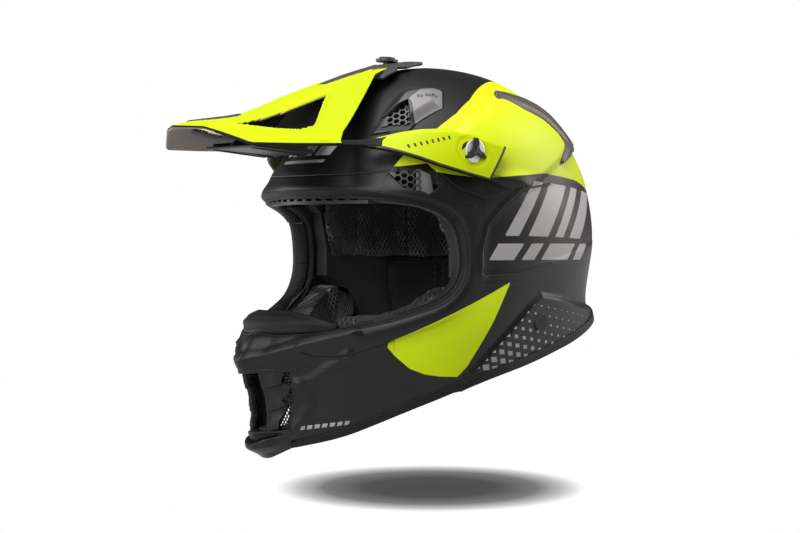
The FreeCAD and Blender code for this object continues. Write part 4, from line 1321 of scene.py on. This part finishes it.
blade_plastic = moulded("blade_plastic", (0.10, 0.098, 0.096), 0.38)
pair("brow_vent_blade", (), "helmet", "vent_grey", region=blade_region, material=blade_plastic,
     depth=1.2, thick=4.0, edge=0.5, detail=1.6, proud=blade_proud)

TAIL = [(-1, -72), (25, -72), (23, -58), (15, -50), (17.5, -43), (9, -20), (-1, -17)]


def tail_region(p):
    q = mirror_x(p)
    return np.where(p[:, 2] > 120, inside(q[:, :2], TAIL), -FAR)


def tail_proud(p):
    x, y = np.abs(p[:, 0]), p[:, 1]
    lift = np.interp(y, [-72, -62, -46, -22], [9.6, 8.6, 5.2, 2.6])
    return lift - 1.8 * ramp(x, 6, 20) + 0.8 * tent(np.abs(x - 8), 3)


tail = applied("peak_tail", tail_region, grey_plastic, 0.0, 2.4, edge=0.7, proud=tail_proud,
               detail=1.3)
place(tail, "peak_unit", "trim_black", "peak_centre_strip")


# ---------------------------------------------------------------- screws


def prism(name, outline, thick, material, bevel):
    """Bevelled plate over an outline in its own plane, base at z = 0."""
    n = len(outline)
    verts = [(x, y, 0.0) for x, y in outline] + [(x, y, thick) for x, y in outline]
    mesh = bpy.data.meshes.new(name)
    sides = [(i, (i + 1) % n, n + (i + 1) % n, n + i) for i in range(n)]
    mesh.from_pydata([tuple(c * MM for c in v) for v in verts], [],
                     [tuple(range(n))[::-1], tuple(range(n, 2 * n))] + sides)
    mesh.materials.append(material)
    obj = linked(name, mesh)
    for poly in mesh.polygons:
        poly.use_smooth = True
    bevelled(obj, bevel, 3, 35)
    return obj


def circle(radius, count=64):
    return [(radius * math.cos(2 * math.pi * i / count), radius * math.sin(2 * math.pi * i / count))
            for i in range(count)]


def blades(reach, waist, count=120):
    """Three blades with concave sides, the first one pointing up."""
    out = []
    for i in range(count):
        a = 2 * math.pi * i / count
        r = waist + (reach - waist) * (0.5 - 0.5 * math.cos(3 * a)) ** 2.6
        out.append((r * math.cos(a), r * math.sin(a)))
    return out


def metal(name, colour, rough):
    p = Paint(name)
    p.set(Base_Color=p.mix(p.noise(60, 4), tuple(c * 0.85 for c in colour), colour),
          Roughness=p.uneven(300, 4, rough - 0.06, rough + 0.08),
          Normal=p.bump(p.noise(1800, 2), 0.00003), Metallic=1.0)
    return p.material


silver = metal("screw_silver", (0.72, 0.72, 0.73), 0.42)
steel = metal("ring_steel_polished", (0.66, 0.66, 0.67), 0.2)
brass = metal("nut_brass_plain", (0.62, 0.45, 0.2), 0.35)
side_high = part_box("peak_screw_left")[1]
SCREW_HEAD_T = 4.6


def side_screw(side, hand):
    base_x = side_high.x / MM - SCREW_HEAD_T
    turn = math.radians(90 * hand)
    pieces = [prism("peak_screw_disc_" + side, circle(9.4), 2.4, silver, 0.7),
              prism("peak_screw_blades_" + side, blades(10.4, 3.6), 4.4, black_plastic, 0.4),
              prism("peak_screw_boss_" + side, blades(4.2, 1.4), 4.9, grey_plastic, 0.25)]
    for obj in pieces:
        obj.rotation_euler = (0, turn, 0)
        obj.location = (hand * base_x * MM, PIVOT[0] * MM, PIVOT[1] * MM)
    bpy.context.view_layer.update()
    place(pieces[0], "screw_" + side, "screw_metal", "peak_screw_" + side)
    for obj in pieces[1:]:
        place(obj, "screw_" + side, "screw_metal")


side_screw("left", 1)
side_screw("right", -1)


# ---------------------------------------------------------------- fabrics


def fabric(name, dark, light, pitch, sheen=0.35, rough=0.82, depth=0.00022):
    """Knitted mesh: rows of small open cells, the threads pale in patches as a painted sheen, with painted
    shade along the sewn channels.
    """
    p = Paint(name)
    u, v = p.cloth()
    turn = math.pi / pitch
    first = ((u + v * 0.62) * turn).op("SINE").op("ABSOLUTE")
    second = ((u - v * 0.62) * turn).op("SINE").op("ABSOLUTE")
    thread = p.map(first.op("MINIMUM", second), 0.10, 0.30, 1.0, 0.0)
    patch = p.map(p.noise(38, 3), 0.46, 0.70, 0.0, 1.0)
    # painted sheen: the threads take the pale colour in patches, as if catching the light
    shine = thread * (patch * 0.92 + 0.08)
    seam = p.attribute("seam")
    colour = p.mix(shine, dark, light)
    # painted shade: darker along the sewn channels
    colour = p.mix(p.map(seam, 0.5, 0.9, 0.0, 1.0), colour, tuple(c * 0.4 for c in dark))
    stitch = ((u + v) * (math.pi / 3.2)).op("SINE")
    on_stitch = p.map(stitch, 0.0, 0.2, 0.0, 1.0) * p.map(seam, 0.12, 0.2, 0.0, 1.0) \
        * p.map(seam, 0.34, 0.42, 1.0, 0.0)
    colour = p.mix(on_stitch, colour, tuple(min(1.0, c * 9 + 0.03) for c in dark))
    normal = p.bump(thread, depth, under=p.bump(p.noise(900, 4), 0.00008))
    p.set(Base_Color=colour, Roughness=p.uneven(70, 4, rough - 0.06, rough + 0.08),
          Normal=normal, Sheen_Weight=sheen, Sheen_Roughness=0.4)
    return p.material


# the pale thread colour here is the painted sheen
knit = fabric("liner_knit", (0.0035, 0.0034, 0.0033), (0.95, 0.92, 0.90), 4.0, 0.05)
brushed = fabric("liner_brushed", (0.004, 0.004, 0.004), (0.035, 0.034, 0.034), 2.2, 0.15, 0.9, 0.0001)


def mesh_arrays(obj):
    mesh = obj.data
    verts = np.zeros(len(mesh.vertices) * 3, np.float32)
    mesh.vertices.foreach_get("co", verts)
    normals = np.zeros(len(mesh.vertices) * 3, np.float32)
    mesh.vertices.foreach_get("normal", normals)
    return verts.reshape(-1, 3) / MM, normals.reshape(-1, 3)


def set_points(obj, verts):
    """Move every point of a mesh, in millimetres."""
    obj.data.vertices.foreach_set("co", (verts * MM).astype(np.float32).ravel())


def evaluated(obj):
    """Apply every modifier of a piece."""
    graph = bpy.context.evaluated_depsgraph_get()
    mesh = bpy.data.meshes.new_from_object(obj.evaluated_get(graph))
    obj.modifiers.clear()
    old = obj.data
    obj.data = mesh
    bpy.data.meshes.remove(old)
    return obj


def remeshed(name, node, voxel, shrink):
    """A clean closed copy of a CAD solid, in world position."""
    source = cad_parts[node]
    mesh = source.data.copy()
    mesh.transform(source.matrix_world)
    mesh.name = name
    mesh.materials.clear()
    obj = linked(name, mesh)
    tool = obj.modifiers.new("remesh", "REMESH")
    tool.mode, tool.voxel_size, tool.use_smooth_shade = "VOXEL", voxel * MM, True
    evaluated(obj)
    verts, normals = mesh_arrays(obj)
    set_points(obj, verts - normals * shrink)
    return obj


def inflate(obj, pressure, cap):
    """Let a closed cloth skin swell, no point moving further than the cap."""
    before, _ = mesh_arrays(obj)
    cloth = obj.modifiers.new("cloth", "CLOTH")
    s = cloth.settings
    s.quality, s.mass, s.air_damping = 4, 0.25, 2.0
    s.tension_stiffness = s.compression_stiffness = s.shear_stiffness = 12
    s.bending_stiffness = 1.2
    s.use_pressure, s.uniform_pressure_force = True, pressure
    s.effector_weights.gravity = 0.0
    cloth.collision_settings.use_collision = False
    cloth.point_cache.frame_start, cloth.point_cache.frame_end = 1, 20
    for step in range(1, 21):
        SCENE.frame_set(step)
    evaluated(obj)
    SCENE.frame_set(1)
    after, _ = mesh_arrays(obj)
    move = after - before
    size = np.linalg.norm(move, axis=1, keepdims=True)
    move *= np.minimum(1.0, cap / np.maximum(size, 1e-6))
    set_points(obj, before + move)


def subdivided(obj):
    obj.modifiers.new("smooth", "SUBSURF").levels = 1
    evaluated(obj)


SEAM_HALF, SEAM_REACH = 2.4, 5.0            # of the sewn channel and of its marks beside it
HEAD_MIDDLE_Y, HEAD_RADIUS = 10.0, 85.0


def cloth_map(verts):
    """Distance along the fabric round the head and up it."""
    x, y = verts[:, 0], verts[:, 1] - HEAD_MIDDLE_Y
    round_head = np.arctan2(x, -y) * HEAD_RADIUS
    return np.stack([round_head, verts[:, 2] + 0.25 * np.hypot(x, y), np.zeros(len(x))], 1)


def soft(name, nodes, material, seams, body="helmet", slot="lining", voxel=4.5, shrink=1.3,
         pressure=4.0, cap=5.0, channel=1.1, piping=(), limit=None):
    """A padded piece: remeshed from the space it has, swollen as cloth, then sewn."""
    obj = remeshed(name, nodes[0], voxel, shrink)
    inflate(obj, pressure, cap)
    subdivided(obj)
    obj.data.materials.append(material)
    verts, normals = mesh_arrays(obj)
    near = np.full(len(verts), 1e9)
    for field in seams:
        near = np.minimum(near, np.abs(field(verts)))
    verts = verts - normals * (channel * np.exp(-(near / SEAM_HALF) ** 2))[:, None]
    set_points(obj, verts)
    set_attribute(obj.data, "seam", np.clip(1 - near / SEAM_REACH, 0, 1))
    set_attribute(obj.data, "cloth", cloth_map(verts))
    for poly in obj.data.polygons:
        poly.use_smooth = True
    obj.data.update()
    place(obj, body, slot, *nodes)
    for number, field in enumerate(piping):
        cord_on(obj, "%s_piping_%d" % (name, number + 1), field, body, slot)
    return obj


def cord_on(obj, name, field, body, slot, radius=1.0):
    """A thin sewn piping along the zero line of a field on a padded piece."""
    verts, normals = mesh_arrays(obj)
    obj.data.calc_loop_triangles()
    faces = np.zeros(len(obj.data.loop_triangles) * 3, np.int32)
    obj.data.loop_triangles.foreach_get("vertices", faces)
    data, faces = clip(np.column_stack([verts, normals]), faces.reshape(-1, 3), field(verts))
    data, faces = weld(data, faces)
    parts, tris, count = [], [], 0
    sides = 8
    for loop in boundary_loops(faces):
        line = data[loop]
        length = np.linalg.norm(np.diff(line[:, :3], axis=0), axis=1).sum()
        if length < 60:
            continue
        line = even_loop(line, int(length / 1.6))
        for _ in range(3):
            line = (np.roll(line, 1, 0) + line * 2 + np.roll(line, -1, 0)) / 4
        tangent = np.roll(line[:, :3], -1, 0) - np.roll(line[:, :3], 1, 0)
        tangent /= np.linalg.norm(tangent, axis=1, keepdims=True)
        up = line[:, 3:6] / np.linalg.norm(line[:, 3:6], axis=1, keepdims=True)
        across = np.cross(tangent, up)
        angle = np.arange(sides) * 2 * math.pi / sides
        spoke = across[:, None] * np.cos(angle)[:, None] + up[:, None] * np.sin(angle)[:, None]
        ring = line[:, None, :3] + up[:, None] * 0.4 + radius * spoke
        n = len(line)
        idx = np.arange(n * sides).reshape(n, sides)
        a, b = idx, np.roll(idx, -1, 1)
        c, d = np.roll(b, -1, 0), np.roll(a, -1, 0)
        tris.append(np.concatenate([np.stack([a, c, b], -1).reshape(-1, 3),
                                    np.stack([a, d, c], -1).reshape(-1, 3)]) + count)
        parts.append(ring.reshape(-1, 3))
        count += n * sides
    if parts:
        tube = build(name, np.concatenate(parts), np.concatenate(tris)[:, ::-1], piping_cloth)
        place(tube, body, slot)


def even_loop(line, count):
    ring = np.vstack([line, line[:1]])
    s = np.concatenate([[0], np.cumsum(np.linalg.norm(np.diff(ring[:, :3], axis=0), axis=1))])
    at = np.linspace(0, s[-1], count, endpoint=False)
    return np.stack([np.interp(at, s, ring[:, k]) for k in range(line.shape[1])], 1)


def piping_material():
    p = Paint("piping_cloth")
    twist = p.noise(700, 2)
    p.set(Base_Color=p.mix(twist, (0.006, 0.006, 0.006), (0.03, 0.03, 0.03)), Roughness=0.6,
          Normal=p.bump(p.voronoi(1500), 0.0001))
    return p.material


piping_cloth = piping_material()


def plane_seam(axis, value):
    return lambda v: v[:, axis] - value


def azimuth_seam(degrees):
    """A seam that runs up the liner at an angle from straight ahead."""
    a = math.radians(degrees)
    return lambda v: np.where(v[:, 0] * math.sin(a) - (v[:, 1] - 5) * math.cos(a) > 0,
                              v[:, 0] * math.cos(a) + (v[:, 1] - 5) * math.sin(a), 99.0)


def side_seam(line):
    """A seam seen from the side as a line of (y, z)."""
    return lambda v: distance(v[:, 1:], line)


LINER_SEAMS = [azimuth_seam(a) for a in (-150, -110, -70, -38, 0, 38, 70, 110, 150)]
LINER_SEAMS += [plane_seam(2, 62.0), plane_seam(2, 112.0)]
soft("crown_pad", ("crown_liner",), knit, LINER_SEAMS, voxel=5.0, shrink=1.0, pressure=3.0, cap=3.0,
     piping=(plane_seam(2, 62.0),))
soft("forehead_band", ("forehead_pad",), brushed, [plane_seam(2, 68.0)] + LINER_SEAMS[2:7], shrink=0.8,
     pressure=3.0, cap=2.0)
soft("neck_bolster", ("neck_roll",), brushed, [azimuth_seam(180), azimuth_seam(130), azimuth_seam(-130)],
     shrink=1.2, cap=4.0)
CHEEK_LINE = [(-128, -62), (-96, -34), (-70, -18), (-46, 4), (-40, 40)]
CHEEK_CROSS = [(-70, -18), (-52, -60), (-20, -74)]
for side in ("left", "right"):
    soft("cheek_cushion_" + side, ("cheek_pad_" + side,), knit,
         [side_seam(CHEEK_LINE), side_seam(CHEEK_CROSS), side_seam([(-20, 30), (10, -40)])],
         shrink=1.4, cap=5.0, piping=(lambda v: v[:, 1] + 44 - 0.35 * v[:, 2],))
    soft("strap_sleeve_" + side, ("strap_pad_" + side,), brushed, [], body="chin_strap",
         slot="lining", voxel=2.2, shrink=0.3, pressure=2.0, cap=1.2)


# ---------------------------------------------------------------- chin strap
LEAN = math.radians(56.0)
STRAP_DOWN = np.array([0, -math.sin(LEAN), -math.cos(LEAN)])
STRAP_ACROSS = np.array([0, math.cos(LEAN), -math.sin(LEAN)])
PLATE_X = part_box("strap_web_left")[1].x / MM - 1.0
RING_AT, RING_ALONG, RING_OUT = (58.0, 72.0), (-0.904, 0.426), (0.426, 0.904)
WEB_T = 1.9


def ring_point(along, outwards):
    return tuple(RING_AT[k] + RING_ALONG[k] * along + RING_OUT[k] * outwards for k in (0, 1))


def webbing_material():
    p = Paint("webbing")
    u, v = p.cloth()
    rib = (u * (math.pi / 1.1)).op("SINE").op("ABSOLUTE")
    pick = ((v + (u * (math.pi / 1.1)).op("SINE") * 0.4) * (math.pi / 0.8)).op("SINE").op("ABSOLUTE")
    weave = rib * 0.6 + pick * 0.4
    p.set(Base_Color=p.mix(weave, (0.006, 0.006, 0.006), (0.032, 0.031, 0.03)), Roughness=0.72,
          Normal=p.bump(weave, 0.00025, under=p.bump(p.noise(1200, 2), 0.00005)), Sheen_Weight=0.3)
    return p.material


webbing = webbing_material()


def band(name, points, width, material):
    """Flat woven band along a path in the strap's plane, with rolled selvedges."""
    path = smooth_line(points, 14)
    tangent = np.gradient(path, axis=0)
    tangent /= np.linalg.norm(tangent, axis=1, keepdims=True)
    normal = np.stack([-tangent[:, 1], tangent[:, 0]], 1)
    run = np.concatenate([[0], np.cumsum(np.linalg.norm(np.diff(path, axis=0), axis=1))])
    w, t = width / 2, WEB_T / 2
    section = [(-w + 0.6, -t), (-w, -t * 0.4), (-w, t * 0.4), (-w + 0.6, t)]
    section += [(-w + 0.6 + (width - 1.2) * k / 10, t + 0.12 * (-1) ** k) for k in range(1, 10)]
    section += [(w - 0.6, t), (w, t * 0.4), (w, -t * 0.4), (w - 0.6, -t)]
    section += [(w - 0.6 - (width - 1.2) * k / 10, -t - 0.12 * (-1) ** k) for k in range(1, 10)]
    verts, laid = [], []
    origin = np.array([0, STRAP_PIVOT[0], STRAP_PIVOT[1]])
    for (x, r), n, s in zip(path, normal, run):
        for across, up in section:
            at = np.array([x + n[0] * up, 0, 0]) + STRAP_DOWN * (r + n[1] * up) + STRAP_ACROSS * across
            verts.append(at + origin)
            laid.append((across, s, 0))
    rows, cols = len(path), len(section)
    last = (rows - 1) * cols
    caps = [[0, i + 1, i] for i in range(1, cols - 1)]
    caps += [[last, last + i, last + i + 1] for i in range(1, cols - 1)]
    faces = np.concatenate([quads(*closed_grid(rows, cols)), np.array(caps)])
    verts = np.array(verts)
    if signed_volume(verts, faces) < 0:
        faces = faces[:, ::-1]
    return build(name, verts, faces, material, dict(cloth=np.array(laid)), sharp=50)


def signed_volume(verts, faces):
    a, b, c = (verts[faces[:, k]] for k in range(3))
    return np.einsum("ij,ij->i", a, np.cross(b, c)).sum()


LEFT_PATH = [(PLATE_X, -11), (PLATE_X, -4), (PLATE_X, 4), (PLATE_X, 12), (106, 28), (91, 48), (62.6, 69.8),
             (58.5, 66.6), (54.0, 68.5), (53.4, 73.5), (56.6, 77.2), (61.4, 75.6), (66, 71.6), (71, 68.2)]
LONG_PATH = [(-PLATE_X, -11), (-PLATE_X, -4), (-PLATE_X, 4), (-PLATE_X, 12), (-106, 28), (-91, 48),
             (-64, 71), (-34, 85), (0, 90.5), (34, 87.5), ring_point(6.4, 5.6)]
TAIL_PATH = [ring_point(6.4, -5.4), (34, 77), (18, 83), (0, 86.2), (-22, 84.4)]
FOLD_PATH = [ring_point(7.2, across) for across in (-6.2, -2, 2, 6.4)]
left_band = band("strap_band_left", LEFT_PATH[:7], 22, webbing)
left_loop = band("strap_ring_loop", LEFT_PATH[5:], 21.6, webbing)
long_band = band("strap_band_right", LONG_PATH, 19, webbing)
tail_band = band("strap_tail", TAIL_PATH, 18.8, webbing)
fold_band = band("strap_fold", FOLD_PATH, 18, webbing)
place(left_band, "chin_strap", "webbing", "strap_web_left")
place(long_band, "chin_strap", "webbing", "strap_web_right")
for obj in (left_loop, tail_band, fold_band):
    place(obj, "chin_strap", "webbing")


# ---------------------------------------------------------------- what shows of the CAD
bead_foam = beads("bead_foam", (0.028, 0.028, 0.028))
CAD_LOOKS = {
    "crown_foam": bead_foam, "cheek_core": bead_foam, "cheek_snaps": grey_plastic,
    "brow_vent_strip": black_plastic,
    "top_vent_grille": black_mesh, "brow_vent_grille": black_mesh, "exhaust_grille": black_mesh,
    "peak_braces": black_plastic, "peak_spacer": black_plastic,
    "peak_nut": brass, "peak_top_nut": brass, "peak_top_screw": grey_plastic, "d_ring": steel,
    "strap_rivet": moulded("rivet_black", (0.006, 0.006, 0.0056), 0.44, specular=0.3),
}
for node_name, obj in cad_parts.items():
    for start, look in CAD_LOOKS.items():
        if node_name.startswith(start):
            obj.data.materials.clear()
            obj.data.materials.append(look)


# ---------------------------------------------------------------- stage
AZIMUTH, ELEVATION = math.radians(51.0), math.radians(0.3)
DISTANCE, FOCUS_PX = 2.0, 2420.0
AIM = (0.028, -0.0075)                      # how far right and up of the middle the origin shows
SENSOR_MM, FRAME_PX = 36.0, 800.0
GROUND_Z, GROUND_RADIUS = -0.215, 9
# size, place and tilt of the painted shadow under the helmet
SHADOW_RADII, SHADOW_AT = (0.134, 0.098), (0.0255, -0.1825)
SHADOW_TILT = math.radians(7.0)


def camera():
    back = Vector((math.sin(AZIMUTH) * math.cos(ELEVATION), -math.cos(AZIMUTH) * math.cos(ELEVATION),
                   math.sin(ELEVATION)))
    right = Vector((math.cos(AZIMUTH), math.sin(AZIMUTH), 0))
    up = back.cross(right)
    target = -(right * AIM[0] + up * AIM[1])
    data = bpy.data.cameras.new("camera")
    data.sensor_width, data.lens = SENSOR_MM, FOCUS_PX * SENSOR_MM / FRAME_PX
    obj = linked("camera", data)
    obj.location = target + back * DISTANCE
    obj.rotation_euler = back.to_track_quat("Z", "Y").to_euler()
    SCENE.camera = obj
    return right, up, back


LIGHTS_AIM = Vector((0, -0.02, 0.02))


def area(name, where, size, power, colour=(1, 1, 1)):
    data = bpy.data.lights.new(name, "AREA")
    data.shape, data.size, data.size_y = "RECTANGLE", size[0], size[1]
    data.energy, data.color = power, colour
    obj = linked(name, data)
    obj.location = where
    obj.rotation_euler = (Vector(where) - LIGHTS_AIM).to_track_quat("Z", "Y").to_euler()


def around(right, up, back, r, u, b):
    return tuple(right * r + up * u + back * b)


def shadeless(p, colour):
    """A surface that shows its own colour whatever the light."""
    glow = p.node("ShaderNodeEmission")
    p.link(colour, glow.inputs[0])
    p.tree.links.new(glow.outputs[0], p.tree.nodes["Material Output"].inputs[0])
    return p.material


def shadow_material():
    """White ground with a soft painted shadow under the helmet."""
    p = Paint("ground_shade")
    ramp_node = p.node("ShaderNodeValToRGB")
    length = p.node("ShaderNodeVectorMath", operation="LENGTH")
    p.tree.links.new(p.point, length.inputs[0])
    p.tree.links.new(length.outputs["Value"], ramp_node.inputs[0])
    stops = ramp_node.color_ramp.elements
    stops[0].position, stops[0].color = 0.0, (0.075, 0.075, 0.075, 1)
    stops[1].position, stops[1].color = 0.95, (1, 1, 1, 1)
    for at, tone in ((0.40, 0.085), (0.66, 0.20), (0.82, 0.55)):
        stop = stops.new(at)
        stop.color = (tone, tone, tone, 1)
    return shadeless(p, Sock(p.tree, ramp_node.outputs[0]))


def flat_disc(name, radius, rings, material, where):
    """Round sheet of ground, one unit across its own radius."""
    count = 96
    verts, faces = [(0, 0, 0)], []
    for k in range(1, rings + 1):
        for i in range(count):
            a = 2 * math.pi * i / count
            verts.append((k / rings * math.cos(a), k / rings * math.sin(a), 0))
    for i in range(count):
        faces.append((0, 1 + i, 1 + (i + 1) % count))
    for k in range(1, rings):
        low, high = 1 + (k - 1) * count, 1 + k * count
        for i in range(count):
            j = (i + 1) % count
            faces.append((low + i, high + i, high + j))
            faces.append((low + i, high + j, low + j))
    obj = build(name, np.array(verts) / MM, faces, material)
    obj.scale = (radius[0], radius[1], 1)
    obj.location = where
    return obj


def stage():
    right, up, back = camera()
    white = shadeless(Paint("ground_white"), (1.0, 1.0, 1.0))
    ground = flat_disc("ground", (GROUND_RADIUS, GROUND_RADIUS), 2, white, (0, 0, GROUND_Z))
    # painted shadow: a tilted disc darkened towards its middle
    painted_shadow = flat_disc("ground_shadow", SHADOW_RADII, 12, shadow_material(),
                     tuple(right * (SHADOW_AT[0] - AIM[0]) + up * (SHADOW_AT[1] - AIM[1])))
    across = Vector((right.x, right.y, 0)).normalized()
    lean = SHADOW_TILT - ELEVATION
    forward = (-back).normalized()
    plane_y = (forward * math.cos(lean) + up * math.sin(lean)).normalized()
    plane_z = across.cross(plane_y)
    painted_shadow.rotation_mode = "QUATERNION"
    turn = Matrix((across, plane_y, plane_z)).transposed()
    painted_shadow.rotation_quaternion = turn.to_quaternion()
    for obj in (ground, painted_shadow):
        obj.visible_diffuse = False
        obj.visible_shadow = False
    painted_shadow.visible_glossy = False

    world = bpy.data.worlds.new("studio")
    SCENE.world = world
    world.use_nodes = True
    tree = world.node_tree
    seen = tree.nodes["Background"]
    seen.inputs[0].default_value, seen.inputs[1].default_value = (1, 1, 1, 1), 1.0
    fill = tree.nodes.new("ShaderNodeBackground")
    fill.inputs[0].default_value, fill.inputs[1].default_value = (1, 1, 1, 1), 0.11
    choose = tree.nodes.new("ShaderNodeMixShader")
    path = tree.nodes.new("ShaderNodeLightPath")
    tree.links.new(path.outputs["Is Camera Ray"], choose.inputs[0])
    tree.links.new(fill.outputs[0], choose.inputs[1])
    tree.links.new(seen.outputs[0], choose.inputs[2])
    tree.links.new(choose.outputs[0], tree.nodes["World Output"].inputs[0])

    area("key_top", around(right, up, back, -0.25, 1.5, 0.35), (1.3, 1.3), 25)
    area("key_front", around(right, up, back, -0.9, 0.75, 1.2), (0.9, 1.2), 17)
    area("rim_right", around(right, up, back, 1.35, 0.65, -0.35), (0.6, 1.3), 16, (1, 0.96, 0.93))
    area("rim_left", around(right, up, back, -1.4, 0.2, -0.5), (0.5, 1.3), 8)
    SCENE.view_settings.view_transform = "Standard"


stage()
